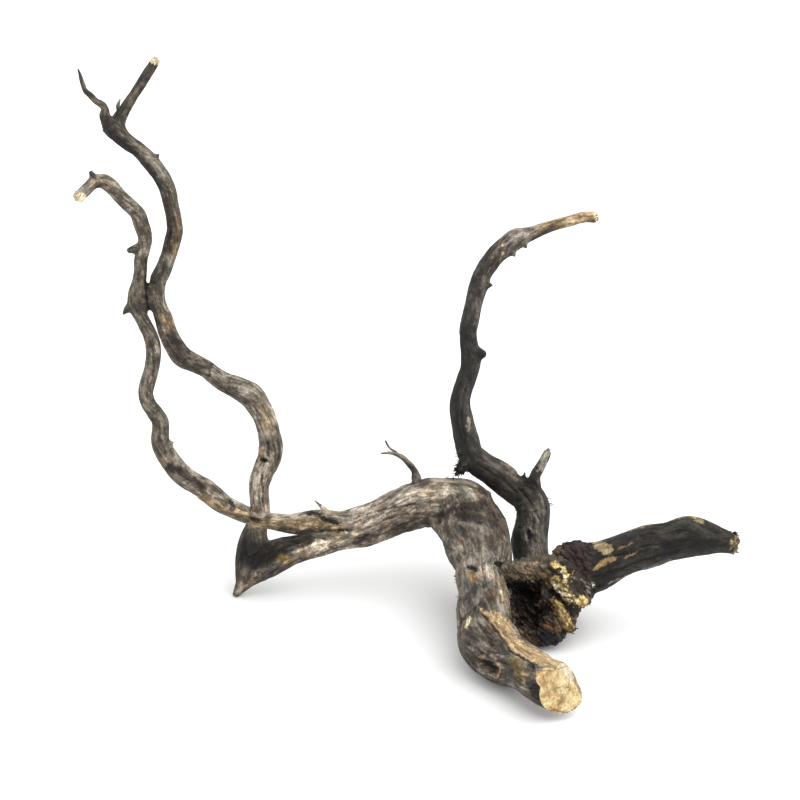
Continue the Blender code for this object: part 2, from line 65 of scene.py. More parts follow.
# Limbs: grain group, then stations across, up and near with a radius, in millimetres
LIMBS = {
    "trunk": (0, [
        (-252, 84, -166, 3.8), (-249, 89, -165, 5.5), (-243, 98, -164, 9), (-233, 109, -163, 14),
        (-222, 118, -162, 17), (-206, 126, -162, 16.5), (-187, 132, -162, 14.5), (-167, 138, -162, 15),
        (-147, 148, -160, 19), (-127, 153, -158, 20.5), (-107, 160, -157, 21.5), (-87, 169, -156, 22.5),
        (-66, 176.5, -154, 24), (-46, 177, -150, 25), (-25, 174.5, -140, 27.5), (-16, 159, -122, 31.5),
        (-10.5, 140, -100, 33.5), (-5, 120, -77, 30), (-6, 100, -57, 24.5), (-4, 80, -38, 25),
        (-3, 60, -20, 28), (0, 41, -7, 30.5), (11, 26, 9, 28), (36, 13, 39, 23.5), (59, -1, 67, 23.5),
        (78.5, -11.5, 86, 25.2), (99, -24.5, 110, 26.5),
    ]),
    "right_root": (1, [
        (13, 95, -88, 24), (41, 92, -98, 28), (69, 95.5, -95, 26.2), (93, 110, -84, 28),
        (113, 115, -76, 24), (128, 122, -71, 21.5), (143, 128, -67, 21.2), (163, 134, -62, 21.8),
        (183, 139, -57, 20), (203, 143.5, -52, 20.8), (218, 142, -48, 18), (233, 139.5, -45, 13.5),
        (246, 136, -42, 10.5), (258, 133, -39, 9),
    ]),
    "right_branch": (2, [
        (51, 90, -108, 20), (46, 108, -118, 18.5), (44, 124, -126, 18), (43, 140, -132, 19),
        (45, 155, -136, 17.5), (46, 170, -139, 17.6), (42, 181.5, -141, 17.7), (28, 190.5, -143, 15),
        (16, 200, -146, 15), (4, 209, -149, 14.5), (-8.5, 217, -151, 14), (-17, 227, -152, 13),
        (-20, 240, -153, 13), (-23, 252, -154, 12), (-26, 265, -155, 11.5), (-27, 277, -156, 10.5),
        (-25, 288, -158, 10), (-21, 300, -160, 10), (-17, 313, -162, 10), (-16, 325, -163, 10.5),
        (-18, 337, -163, 9.4), (-19, 348, -163, 9.3), (-17, 360, -163, 9.5), (-14, 372, -164, 9.3),
        (-11, 384, -165, 9.4), (-8, 395, -167, 9.8), (-4, 406.5, -169, 9.4), (2, 416, -171, 9.8),
        (10, 426, -173, 9.8), (20, 434, -174, 10.8), (29, 441, -175, 10.5), (40, 445, -176, 8),
        (53, 450, -176, 6.6), (68, 455, -176, 6), (83, 459, -176, 5.8), (98, 463, -176, 5.7),
        (109, 463, -176, 6.3),
    ]),
    "back_branch": (1, [
        (-225, 120, -164, 12), (-231, 135, -165, 13), (-231, 150, -166, 12), (-227, 170, -165, 10.5),
        (-228, 185, -163, 10.5), (-227.5, 198, -161, 10.8), (-223, 210, -158, 11),
        (-217.5, 222, -155, 12.5), (-216, 233, -152, 13), (-218, 245, -149, 12),
        (-222, 260, -146, 11.5), (-228, 273, -143, 12), (-236, 284, -140, 13), (-249, 292, -137, 12),
        (-265, 299.5, -133, 10), (-281, 311, -129, 9.5), (-293, 317, -126, 10), (-306, 324.5, -121, 11),
        (-312.5, 333.5, -117, 10.4), (-319.5, 348.5, -112, 10), (-323.5, 362, -108, 9.6),
        (-329, 378, -104, 8.3), (-330, 388, -102, 8.2), (-329, 399, -100, 8.5), (-324, 410, -98, 8.3),
        (-319, 423, -95, 8.3), (-315, 437, -92, 9), (-312, 450.5, -90, 9), (-313, 460, -88, 8.2),
        (-316, 475, -86, 8), (-319, 489.5, -84, 8.3), (-325, 503, -82, 8.7), (-336, 518, -80, 9),
        (-348, 530, -78, 7.8), (-361, 539, -77, 8.5), (-371, 549, -76, 10), (-379, 556, -75, 9),
    ]),
    "front_branch": (2, [
        (-135, 152, -152, 14), (-149, 154, -149, 15), (-162, 155, -146, 15), (-177, 157, -142, 13),
        (-192, 156, -137, 11), (-204, 157, -132, 9.2), (-217, 159, -126, 8.5), (-229, 161, -121, 8.8),
        (-240, 165, -117, 9), (-252, 170, -113, 9.5), (-264, 176, -109, 10), (-274, 184, -105, 11),
        (-284, 192, -102, 11), (-296, 199, -99, 11), (-307, 207, -97, 11), (-315, 217, -95, 10.5),
        (-322, 228, -93, 10.5), (-326.5, 240, -92, 9.8), (-326.5, 250, -91, 9.3), (-327, 259, -90, 9),
        (-332, 267, -89, 8.5), (-338.5, 276, -89, 8), (-341, 287, -89, 7.8), (-339, 298, -90, 8),
        (-335.5, 310, -92, 8), (-333.5, 322, -94, 8), (-333.5, 333, -96, 7.8), (-336.5, 345, -98, 7.8),
        (-343, 358, -100, 7.5), (-348, 368, -101, 8), (-350, 377, -101, 10), (-349.5, 387, -99, 9),
        (-347.5, 399, -95, 7.6), (-346.5, 410, -90, 6.8), (-346, 422, -86, 7), (-343, 433, -82, 7.5),
        (-342, 442, -78, 7.6), (-345.5, 455, -74, 8), (-350, 467, -70, 8), (-359, 476, -66, 7.6),
        (-368, 485, -62, 7.5), (-376, 494, -59, 8), (-384, 499, -56, 8), (-392, 498, -53, 7),
        (-399, 492, -50, 6.2), (-407, 484, -47, 6), (-410, 481, -45.5, 6),
    ]),
    "graft": (0, [
        (-338, 395, -98, 4.5), (-339, 388, -100, 8.5), (-339, 378, -102, 8.8), (-338, 371, -103, 4.5),
    ]),
    "heel_web": (2, [
        (-236, 153, -166, 7), (-240, 138, -165, 9), (-243, 122, -164, 9), (-244.5, 106, -163, 8),
        (-247, 95, -164, 5.5), (-250, 88, -165, 3.8),
    ]),
    "knee_web": (1, [
        (-58, 168, -150, 12), (-45, 158, -136, 12.2), (-36.5, 145, -116, 11.5), (-29, 130, -95, 9),
        (-25, 118, -80, 9),
    ]),
    "end_corner": (1, [(30, 17, 43, 12), (45, 9, 71, 11.5), (60, 2, 96, 10.5), (69, -3, 107, 10.5)]),
    "crown_lip": (2, [
        (12, 106, -58, 10), (31, 110, -50, 10.5), (48, 110, -48, 10.5), (65, 112, -50, 12),
        (79, 106, -54, 12), (89, 95, -58, 11), (100, 88, -62, 9),
    ]),
    "crown_lobe": (2, [
        (98, 93, -78, 11), (84, 79, -62, 12), (74.5, 64, -56, 14), (63, 50.5, -56, 14.6),
        (48, 47.5, -62, 13.2), (31, 52, -60, 13), (14, 60, -48, 12),
    ]),
    "crown_back": (2, [(20, 86, -92, 20), (48, 82, -104, 22), (72, 86, -106, 24), (95, 100, -92, 18)]),
    "crown_sole": (2, [(14, 66, -66, 15), (34, 64, -78, 19), (56, 64, -80, 18), (74, 72, -84, 15)]),
    "crown_cheek": (2, [(58, 100, -66, 13), (67, 89, -64, 17), (79, 82, -66, 17), (92, 88, -72, 14)]),
    "crown_knuckle": (2, [(72, 98, -92, 18), (87, 109, -84, 16), (94, 123, -78, 13.5), (96, 134, -76, 8)]),
    "crown_curl": (0, [
        (71, 117.5, -58, 4.6), (78, 110, -48, 7), (83, 97, -44, 8), (90, 86, -48, 8),
        (95, 78, -54, 4.6),
    ]),
    "back_left_twig": (0, [
        (-376, 554, -75, 9), (-382, 563, -74, 6), (-382.5, 571, -73, 4), (-386, 576, -72.5, 3.6),
        (-391, 579, -72, 3.2), (-397, 585, -70, 3), (-402, 590, -68, 2.6), (-405, 598, -66, 2.3),
        (-407, 605, -64, 1.6), (-409, 611, -62, 0.8),
    ]),
    "back_right_twig": (2, [
        (-371, 550, -77, 8.5), (-369, 558, -78, 8), (-363, 569, -80, 6.2), (-357, 579, -81, 5.5),
        (-349, 591, -82, 5.5), (-341, 604, -83, 5.6), (-333, 617, -84, 5.2), (-330.5, 621, -84, 4.8),
    ]),
    "stub": (1, [
        (44, 187, -138, 10), (47, 196, -137, 7.5), (48, 204, -136, 6), (53, 213, -135, 5.5),
        (58, 222, -134, 4.9), (61, 229, -133, 4.2),
    ]),
    "arm_twig": (1, [
        (-69, 192, -150, 8), (-71, 203, -147, 4.6), (-73, 210, -146, 3.2), (-79, 217, -144, 3),
        (-84, 222, -142, 2.5), (-90, 225.5, -140, 2.1), (-97, 227, -138, 1.6), (-106, 226.5, -136, 0.9),
    ]),
    "arm_twig_fork": (2, [
        (-87, 223.5, -141, 1.6), (-92, 228.5, -142, 1.3), (-96, 231, -143, 1.2), (-100, 236, -144, 1),
        (-101.5, 239.5, -144, 0.8),
    ]),
    "arm_spur": (2, [
        (-149, 160, -143, 5.5), (-157, 166, -139, 3.8), (-165, 173, -137, 2.5), (-173, 180, -135, 0.9),
    ]),
    "front_tip_spur": (0, [(-390, 498, -52, 6), (-394, 504, -51.5, 4.6), (-397, 509, -51, 2.4)]),
    "front_broken_spur": (0, [(-344, 433, -82, 6), (-352, 431, -81, 4.8), (-359.5, 429, -80, 2.4)]),
    "front_thorn": (0, [(-351, 375, -101, 7), (-359, 371, -101, 5.2), (-364, 365, -101, 1.3)]),
    "front_bud": (0, [(-321, 235, -92, 5), (-316, 237, -91, 3), (-313, 238, -91, 1.2)]),
    "back_bud": (0, [(-336, 518, -80, 6), (-331, 523, -80, 3.5), (-328, 526, -80, 1.6)]),
    "twig_thorn": (0, [(-365, 566, -79, 4), (-369, 573, -78, 2.2), (-367, 581, -78, 0.9)]),
    "right_knob": (0, [(-14, 326, -162, 8), (-5, 326, -158, 6), (-1.5, 326, -156, 3.5)]),
    "right_spur": (0, [(-6, 396, -166, 7), (1, 395, -163, 4.5), (5.5, 394.5, -162, 2)]),
    "right_lump_a": (0, [(22, 434, -172, 7), (26, 427, -169, 4.5), (28, 423.5, -168, 2)]),
    "right_lump_b": (0, [(34, 441, -174, 6), (38, 435, -172, 3.8), (39, 431.5, -172, 1.8)]),
    "right_burr": (0, [(-20, 217, -147, 7), (-26, 211, -143, 5.5), (-30, 207, -141, 3)]),
    "right_thorn": (0, [(33, 193, -140, 6), (37, 203, -135, 3), (38, 208, -133, 1)]),
}
# A root stub behind the crown, in the object's own frame
BACK_FOOT = [(30, 158, 44, 16), (32, 167, 26, 12.5), (33, 173, 10, 9), (33, 176, -4, 7)]

# Limbs thin enough to be lofted by themselves, and limbs that the rot has eaten into
THIN = ("back_left_twig", "arm_twig", "arm_twig_fork", "twig_thorn")
CROWN_NAMES = tuple(name for name in LIMBS if name.startswith("crown_"))
HOLLOWED = CROWN_NAMES + ("right_root",)

# Sawn ends: a point and an outward normal in the sighting frame, and the limb they end
SAWN_ENDS = [
    ("trunk", (73, -10, 86), (0.36, -0.26, 0.90)),
    ("trunk", (84.5, -5, 80), (0.80, 0.34, 0.49)),
    ("end_corner", (73, -10, 86), (0.36, -0.26, 0.90)),
    ("right_root", (248, 134, -41), (0.84, -0.20, 0.50)),
]
# Hollows of the rotten crown: centre and radii in the sighting frame
HOLLOWS = [
    ((42, 72, -38), (22.0, 26.0, 38.0)),
    ((40, 88, -58), (19.0, 12.0, 26.0)),
]

PIECE_NAMES = (
    "weathered_trunk", "weathered_arm", "weathered_left_branches", "weathered_right_side",
    "weathered_sawn_end",
)

# Frayed tufts: centre, spread, lean, count, length, radius and colour, in the sighting frame
TUFTS = [
    ((-27, 211, -140), (4, 5, 4), (-0.5, -0.5, 0.2), 110, 6.5, 0.85, "dark"),
    ((-30, 221, -142), (1.5, 2.5, 2), (-1, 0.6, 0.2), 16, 9, 0.5, "dark"),
    ((-14, 206, -138), (3, 3, 3), (-0.2, -1, 0.2), 20, 5, 0.5, "dark"),
    ((-31, 103, -60), (1, 2.5, 3), (-1, 0.2, 0.3), 5, 4, 0.5, "dark"),
    ((-31, 82, -44), (1, 1.5, 3), (-1, 0.1, 0.2), 3, 3.5, 0.5, "dark"),
    ((60, 175, -132), (1, 4.5, 3), (0.9, 0.1, 0.2), 9, 6, 0.5, "dark"),
    ((45, 195, -127), (4, 4, 3), (-0.2, 0.7, 0.5), 22, 5, 0.6, "maroon"),
    ((61, 230, -133), (1.6, 1.6, 1.6), (0.4, 0.9, 0.1), 12, 4.5, 0.8, "bleach"),
    ((27, 167, -130), (0.8, 0.8, 1), (-0.9, 0.3, 0.2), 3, 5, 0.6, "dark"),
    ((-230, 172, -110), (3.5, 3.5, 3), (0.1, 0.8, 0.5), 20, 8, 0.7, "tan"),
    ((-409, 483, -45), (1.6, 3, 2.5), (-0.7, -0.4, 0.3), 10, 3.5, 0.9, "cream"),
    ((110, 463, -176), (1, 3, 3), (0.9, 0.1, 0.1), 10, 3.5, 0.9, "cream"),
    ((-330, 621, -84), (1.2, 1.2, 1.2), (0.4, 0.9, 0), 6, 3.5, 0.8, "cream"),
    ((247, 137, -40), (1.5, 6.5, 5), (0.8, 0.1, 0.4), 40, 3.5, 1.1, "straw"),
    ((249, 143, -40), (1.5, 4.5, 4), (0.7, 0.5, 0.3), 14, 4, 1.1, "umber"),
    ((80, 100, -46), (3, 5, 4), (0.4, 0.3, 0.8), 26, 4, 1.1, "yellow"),
    ((80, 84, -46), (5, 4, 4), (0.4, -0.2, 0.8), 26, 4, 1.1, "yellow"),
    ((94, 79, -50), (4, 2, 4), (0.3, -0.6, 0.6), 14, 4, 1, "straw"),
    ((84, 52, -50), (3, 4, 4), (0.6, -0.4, 0.5), 20, 3.5, 1, "ochre"),
    ((40, 41, -50), (8, 2.5, 4), (0, -0.6, 0.8), 26, 4, 0.9, "brown"),
    ((38, 103, -44), (6, 3, 4), (0.2, -0.7, 0.6), 14, 4.5, 0.7, "straw"),
]

# How far from its centre a tuft looks for the wood it is rooted in, millimetres
TUFT_REACH = 45.0

# Sides of a tube, and the steps of its rings and of its map along the limb, millimetres
TUBE_SIDES = 36
TUBE_STEP = 1.6
MAP_STEP = 1.2
# Voxels of the fused surface and of the crown before it is hollowed, metres
VOXEL = 0.00112
HOLLOW_VOXEL = 0.0022
# Voxel that the smoothing and the wear are stated for
REFERENCE_VOXEL = 0.00125
# Points that are surveyed at a time
SURVEY_BLOCK = 20000
# How sharply one grain group takes over from the next where limbs meet
GROUP_SHARPNESS = 14.0
# Keeps the patterns of one limb apart from those of the next, millimetres
SHIFT_AROUND = 61.0
SHIFT_ALONG = 733.0
# How far around its point a saw cut acts on the tubes and on the fused surface, millimetres
CUT_REACH = 110.0
END_REACH = 45.0


def to_world(points):
    """Sighted points, millimetres, to the object's own frame."""
    points = np.asarray(points, dtype=float)
    across, up, near = points[..., 0], points[..., 1], points[..., 2]
    scale = 1.0 - near / SIGHT_DISTANCE
    side = EYE_ACROSS + (across - EYE_ACROSS) * scale
    level = EYE_UP + (up - EYE_UP) * scale
    return np.stack((
        side + BEND_TO_ORIGIN[0],
        level * RISE - near * RUN + BEND_TO_ORIGIN[1],
        level * RUN + near * RISE,
    ), axis=-1)


def to_sight(points):
    """The object's own frame, millimetres, to across, up and near."""
    side = points[:, 0] - BEND_TO_ORIGIN[0]
    back = points[:, 1] - BEND_TO_ORIGIN[1]
    level = back * RISE + points[:, 2] * RUN
    near = points[:, 2] * RISE - back * RUN
    scale = 1.0 - near / SIGHT_DISTANCE
    across = EYE_ACROSS + (side - EYE_ACROSS) / scale
    up = EYE_UP + (level - EYE_UP) / scale
    return np.stack((across, up, near), axis=-1)


def direction(across, up, near):
    vector = np.array((across, up * RISE - near * RUN, up * RUN + near * RISE), dtype=float)
    return vector / np.linalg.norm(vector)


def linear(red, green, blue):
    """A colour written as 0 to 255 display values, as linear light."""
    shown = np.array((red, green, blue)) / 255.0
    return np.where(shown < 0.04045, shown / 12.92, ((shown + 0.055) / 1.055) ** 2.4)


EYE = to_world((EYE_ACROSS, EYE_UP, SIGHT_DISTANCE))


class Noise:
    """Gradient noise on arrays of points."""

    def __init__(self, seed):
        generator = np.random.default_rng(seed)
        self.order = np.tile(generator.permutation(256), 2)
        slopes = generator.normal(size=(256, 3))
        self.slopes = (slopes / np.linalg.norm(slopes, axis=1)[:, None]).astype(np.float32)

    def at(self, points):
        points = points.astype(np.float32)
        cell = np.floor(points).astype(np.int32)
        part = points - cell
        cell &= 255
        fade = part * part * part * (part * (part * 6.0 - 15.0) + 10.0)
        total = np.zeros(len(points), dtype=np.float32)
        for dx in (0, 1):
            wx = fade[:, 0] if dx else 1.0 - fade[:, 0]
            hx = self.order[(cell[:, 0] + dx) & 255]
            px = part[:, 0] - dx
            for dy in (0, 1):
                wy = wx * (fade[:, 1] if dy else 1.0 - fade[:, 1])
                hy = self.order[(hx + cell[:, 1] + dy) & 255]
                py = part[:, 1] - dy
                for dz in (0, 1):
                    wz = fade[:, 2] if dz else 1.0 - fade[:, 2]
                    slope = self.slopes[self.order[(hy + cell[:, 2] + dz) & 255]]
                    dot = slope[:, 0] * px + slope[:, 1] * py + slope[:, 2] * (part[:, 2] - dz)
                    total += wy * wz * dot
        return total * 1.6

    def layered(self, points, layers, gain=0.5):
        total = np.zeros(len(points))
        weight = 1.0
        for layer in range(layers):
            total += weight * self.at(points * 2.03 ** layer + 17.3 * layer)
            weight *= gain
        return total


def smoothstep(low, high, value):
    t = np.clip((value - low) / (high - low), 0.0, 1.0)
    return t * t * (3.0 - 2.0 * t)


class Limb:
    """A smooth path with radii, its turning frame and its length coordinate."""

    def __init__(self, name, group, stations):
        self.name = name
        self.group = group
        stations = np.array(stations, dtype=float)
        if name == "back_foot":
            self.rows = stations
        else:
            radii = stations[:, 3] * (1.0 - stations[:, 2] / SIGHT_DISTANCE)
            self.rows = np.column_stack((to_world(stations[:, :3]), radii))
        self.points, self.radii, self.arc = self.path(MAP_STEP)
        self.tangents, self.sides, self.others = self.frames(self.points)

    def path(self, step):
        rows = self.rows
        steps = np.linalg.norm(np.diff(rows[:, :3], axis=0), axis=1)
        marks = np.concatenate(([0.0], np.cumsum(steps)))
        slopes = np.gradient(rows, marks, axis=0)
        count = max(int(marks[-1] / step) + 1, 4)
        places = np.linspace(0.0, marks[-1], count)
        index = np.clip(np.searchsorted(marks, places, side="right") - 1, 0, len(steps) - 1)
        span = steps[index][:, None]
        t = ((places - marks[index]) / steps[index])[:, None]
        out = (2 * t ** 3 - 3 * t ** 2 + 1) * rows[index]
        out += (t ** 3 - 2 * t ** 2 + t) * span * slopes[index]
        out += (-2 * t ** 3 + 3 * t ** 2) * rows[index + 1]
        out += (t ** 3 - t ** 2) * span * slopes[index + 1]
        least = np.minimum(rows[index, 3], rows[index + 1, 3]) * 0.9
        return out[:, :3], np.maximum(out[:, 3], least), places

    @staticmethod
    def frames(points):
        tangents = np.gradient(points, axis=0)
        tangents /= np.linalg.norm(tangents, axis=1)[:, None]
        side = np.cross(tangents[0], (0.31, 0.72, 0.62))
        side /= np.linalg.norm(side)
        sides = []
        for tangent in tangents:
            side = side - tangent * np.dot(side, tangent)
            side /= np.linalg.norm(side)
            sides.append(side)
        sides = np.array(sides)
        return tangents, sides, np.cross(tangents, sides)

    def tube(self, step, sides):
        """Vertices and faces of a closed tube, in millimetres."""
        points, radii, _ = self.path(step)
        tangents, side, other = self.frames(points)
        angles = np.linspace(0.0, 2.0 * math.pi, sides, endpoint=False)
        offsets = side[:, None, :] * np.cos(angles)[None, :, None]
        offsets = offsets + other[:, None, :] * np.sin(angles)[None, :, None]
        rings = points[:, None, :] + offsets * radii[:, None, None]
        verts = rings.reshape(-1, 3)
        first = points[0] - tangents[0] * radii[0] * 0.35
        last = points[-1] + tangents[-1] * radii[-1] * 0.35
        verts = np.vstack((verts, first, last))
        faces = []
        for ring in range(len(points) - 1):
            low = ring * sides
            high = low + sides
            for corner in range(sides):
                after = (corner + 1) % sides
                faces.append((low + corner, low + after, high + after, high + corner))
        start = len(verts) - 2
        top = (len(points) - 1) * sides
        for corner in range(sides):
            after = (corner + 1) % sides
            faces.append((after, corner, start))
            faces.append((top + corner, top + after, start + 1))
        return verts, faces


def cut_plane(point, normal):
    return to_world(point), direction(*normal)


def press_flat(name, verts):
    """Move what stands past a saw cut or below the ground back onto it."""
    for limb, point, normal in SAWN_ENDS:
        if limb == name:
            spot, out = cut_plane(point, normal)
            past = (verts - spot) @ out
            near_cut = np.linalg.norm(verts - spot, axis=1) < CUT_REACH
            move = np.where((past > 0.0) & near_cut, past, 0.0)
            verts = verts - move[:, None] * out
    verts[:, 2] = np.maximum(verts[:, 2], 0.0)
    return verts


def new_object(name, data):
    """A new object, linked to the scene."""
    item = bpy.data.objects.new(name, data)
    bpy.context.scene.collection.objects.link(item)
    return item


def mesh_object(name, verts, faces):
    data = bpy.data.meshes.new(name)
    data.from_pydata([tuple(v) for v in np.asarray(verts) * MM], [], faces)
    data.update()
    return new_object(name, data)


def tube_mesh(name, limbs, step, sides):
    """The given limbs as overlapping closed tubes in one mesh."""
    all_verts = []
    all_faces = []
    start = 0
    for limb in limbs:
        verts, faces = limb.tube(step, sides)
        verts = press_flat(limb.name, verts)
        all_verts.append(verts)
        all_faces.extend(tuple(index + start for index in face) for face in faces)
        start += len(verts)
    return mesh_object(name, np.vstack(all_verts), all_faces)


def hollow_object(name, centre, radii, seed):
    """The rough ball that one hollow of the crown is cut with."""
    mesh = bmesh.new()
    bmesh.ops.create_icosphere(mesh, subdivisions=5, radius=1.0)
    shape = np.array([vert.co[:] for vert in mesh.verts])
    wave = 1.0 + 0.30 * Noise(seed).layered(shape * 1.7, 4)
    middle = to_world(centre)
    axes = np.array((direction(1, 0, 0), direction(0, 1, 0), direction(0, 0, 1)))
    spots = middle + (shape * wave[:, None] * np.array(radii)) @ axes
    for vert, spot in zip(mesh.verts, spots):
        vert.co = Vector(spot) * MM
    data = bpy.data.meshes.new(name)
    mesh.to_mesh(data)
    mesh.free()
    return new_object(name, data)


def bake(item):
    """Replace the object's mesh by what its modifiers make of it."""
    graph = bpy.context.evaluated_depsgraph_get()
    data = bpy.data.meshes.new_from_object(item.evaluated_get(graph))
    item.modifiers.clear()
    item.data = data
    return data


def remesh(item, voxel):
    step = item.modifiers.new("remesh", "REMESH")
    step.mode = "VOXEL"
    step.voxel_size = voxel


def mesh_arrays(data):
    verts = np.empty(len(data.vertices) * 3)
    data.vertices.foreach_get("co", verts)
    normals = np.empty(len(data.vertices) * 3)
    data.vertex_normals.foreach_get("vector", normals)
    edges = np.empty(len(data.edges) * 2, dtype=np.int32)
    data.edges.foreach_get("vertices", edges)
    return verts.reshape(-1, 3) / MM, normals.reshape(-1, 3), edges.reshape(-1, 2)


def move_to(data, points):
    data.vertices.foreach_set("co", (points * MM).ravel())
    data.update()


def neighbour_mean(values, edges, count):
    total = np.zeros((count, values.shape[1]))
    for axis in range(values.shape[1]):
        total[:, axis] = np.bincount(edges[:, 0], values[edges[:, 1], axis], count)
        total[:, axis] += np.bincount(edges[:, 1], values[edges[:, 0], axis], count)
    links = np.bincount(edges[:, 0], minlength=count) + np.bincount(edges[:, 1], minlength=count)
    return total / np.maximum(links, 1)[:, None]


class Survey:
    """Where each point of the surface lies along and around its limbs."""

    def __init__(self, points, limbs):
        self.points = points
        self.limbs = limbs
        self.sight = to_sight(points)
        count = len(points)
        samples = np.vstack([limb.points for limb in limbs]).astype(np.float32)
        bounds = np.cumsum([0] + [len(limb.points) for limb in limbs])
        ratio = np.empty((count, len(limbs)), dtype=np.float32)
        nearest = np.empty((count, len(limbs)), dtype=np.int32)
        squares = (samples ** 2).sum(axis=1)
        for low in range(0, count, SURVEY_BLOCK):
            block = points[low:low + SURVEY_BLOCK].astype(np.float32)
            table = squares - 2.0 * block @ samples.T
            extra = (block ** 2).sum(axis=1)
            for index, limb in enumerate(limbs):
                part = table[:, bounds[index]:bounds[index + 1]]
                best = part.argmin(axis=1)
                nearest[low:low + SURVEY_BLOCK, index] = best
                least = part[np.arange(len(best)), best] + extra
                ratio[low:low + SURVEY_BLOCK, index] = np.sqrt(np.maximum(least, 0.0)) / limb.radii[best]
        self.ratio = ratio
        self.nearest = nearest
        groups = np.array([limb.group for limb in limbs])
        self.limb_in_group = np.zeros((count, 3), dtype=np.int32)
        distance = np.empty((count, 3))
        for group in range(3):
            members = np.flatnonzero(groups == group)
            pick = ratio[:, members].argmin(axis=1)
            self.limb_in_group[:, group] = members[pick]
            distance[:, group] = ratio[np.arange(count), members[pick]]
        weight = np.exp(-GROUP_SHARPNESS * (distance - distance.min(axis=1)[:, None]))
        self.weight = weight / weight.sum(axis=1)[:, None]
        self.owner = ratio.argmin(axis=1)
        self.crotch = np.sort(distance, axis=1)[:, 1] - distance.min(axis=1)
        self.straight = [self.coordinates(group) for group in range(3)]

    def coordinates(self, group):
        """Straightened position: around (two numbers) and along, millimetres, with radius."""
        flat = np.zeros((len(self.points), 3))
        radius = np.ones(len(self.points))
        for index, limb in enumerate(self.limbs):
            chosen = np.flatnonzero(self.limb_in_group[:, group] == index)
            if not len(chosen):
                continue
            spot = self.nearest[chosen, index]
            offset = self.points[chosen] - limb.points[spot]
            x = np.einsum("ij,ij->i", offset, limb.sides[spot])
            y = np.einsum("ij,ij->i", offset, limb.others[spot])
            length = limb.arc[spot] + np.einsum("ij,ij->i", offset, limb.tangents[spot])
            size = limb.radii[spot]
            turn = np.arctan2(y, x) + length * TWIST.get(limb.name, 0.004)
            flat[chosen, 0] = size * np.cos(turn) + SHIFT_AROUND * index
            flat[chosen, 1] = size * np.sin(turn)
            flat[chosen, 2] = length + SHIFT_ALONG * index
            radius[chosen] = size
        return flat, radius

    def along_grain(self, function):
        """A pattern of the straightened wood, mixed where limbs meet."""
        total = np.zeros(len(self.points))
        for group in range(3):
            chosen = np.flatnonzero(self.weight[:, group] > 0.004)
            flat, radius = self.straight[group]
            total[chosen] += self.weight[chosen, group] * function(flat[chosen], radius[chosen])
        return total

    def named(self, *names):
        wanted = [index for index, limb in enumerate(self.limbs) if limb.name in names]
        return np.isin(self.owner, wanted)

    def nearness(self, *names):
        """1 on the named limbs, falling to 0 away from them."""
        wanted = [index for index, limb in enumerate(self.limbs) if limb.name in names]
        if not wanted:
            return np.zeros(len(self.points))
        others = [index for index in range(len(self.limbs)) if index not in wanted]
        gap = self.ratio[:, others].min(axis=1) - self.ratio[:, wanted].min(axis=1)
        return smoothstep(-0.25, 0.25, gap)


# Spiral of the grain, radians per millimetre along the limb
TWIST = {
    "trunk": 0.003, "right_root": -0.002, "right_branch": 0.006,
    "back_branch": 0.009, "front_branch": 0.012, "back_right_twig": 0.010,
}

# Limbs that each place stands for
PLACES = {
    "trunk": ("trunk", "knee_web", "end_corner"),
    "arm": ("trunk", "knee_web", "end_corner", "front_branch", "heel_web", "arm_spur"),
    "foot": ("back_foot",),
    "heel": ("trunk", "heel_web", "back_branch", "front_branch"),
    "crown": CROWN_NAMES + ("right_root",),
    "root": ("right_root",) + CROWN_NAMES,
    "twig": ("arm_twig", "arm_twig_fork", "back_left_twig", "twig_thorn"),
    "right": (
        "right_branch", "stub", "right_knob", "right_spur", "right_lump_a", "right_lump_b",
        "right_thorn", "right_burr",
    ),
    "back": ("back_branch", "back_right_twig", "back_left_twig", "graft", "heel_web", "back_bud"),
    "front": ("front_branch", "front_tip_spur", "front_broken_spur", "front_thorn", "front_bud", "graft"),
}

# Colours of the wood, from display values
COLOURS = {
    "black": linear(14, 11, 9), "dark": linear(42, 37, 31), "umber": linear(56, 43, 33),
    "maroon": linear(46, 33, 30), "brown": linear(98, 76, 56), "bark": linear(88, 77, 62),
    "olive": linear(84, 80, 60), "slate": linear(92, 90, 86), "tan": linear(162, 134, 102),
    "fresh": linear(180, 155, 118), "ochre": linear(150, 122, 76), "rust": linear(150, 102, 58),
    "yellow": linear(232, 208, 138), "cream": linear(220, 206, 174), "straw": linear(172, 156, 116),
    "bleach": linear(188, 182, 170), "white": linear(226, 220, 208), "ivory": linear(252, 244, 222),
    "grey": linear(138, 132, 122),
}

# Tones from dark to pale of bare and rotten wood, and from pale to dark or back of the ends
WOOD_TONES = (linear(40, 36, 30), linear(112, 103, 92), linear(196, 187, 174))
ROT_TONES = (linear(11, 9, 8), linear(34, 27, 23), linear(60, 50, 40), linear(98, 84, 64))
SAWN_TONES = (linear(208, 190, 146), linear(190, 166, 119), linear(146, 116, 74))
TORN_TONES = (linear(34, 27, 20), linear(98, 82, 58), linear(176, 160, 120))

# Strokes on the crown that are lighter than this are broken up into crumbs
CRUMBLING = 0.13

# What a wash multiplies the colour under it by
WASHES_BY_NAME = {
    "dim": (0.62, 0.61, 0.59), "deep": (0.26, 0.24, 0.23), "pale": (1.55, 1.53, 1.50),
    "russet": (0.54, 0.46, 0.41), "olive": (0.62, 0.64, 0.48), "slate": (0.66, 0.69, 0.72),
    "gold": (1.27, 1.08, 0.80), "yellow": (1.60, 1.32, 0.72),
}
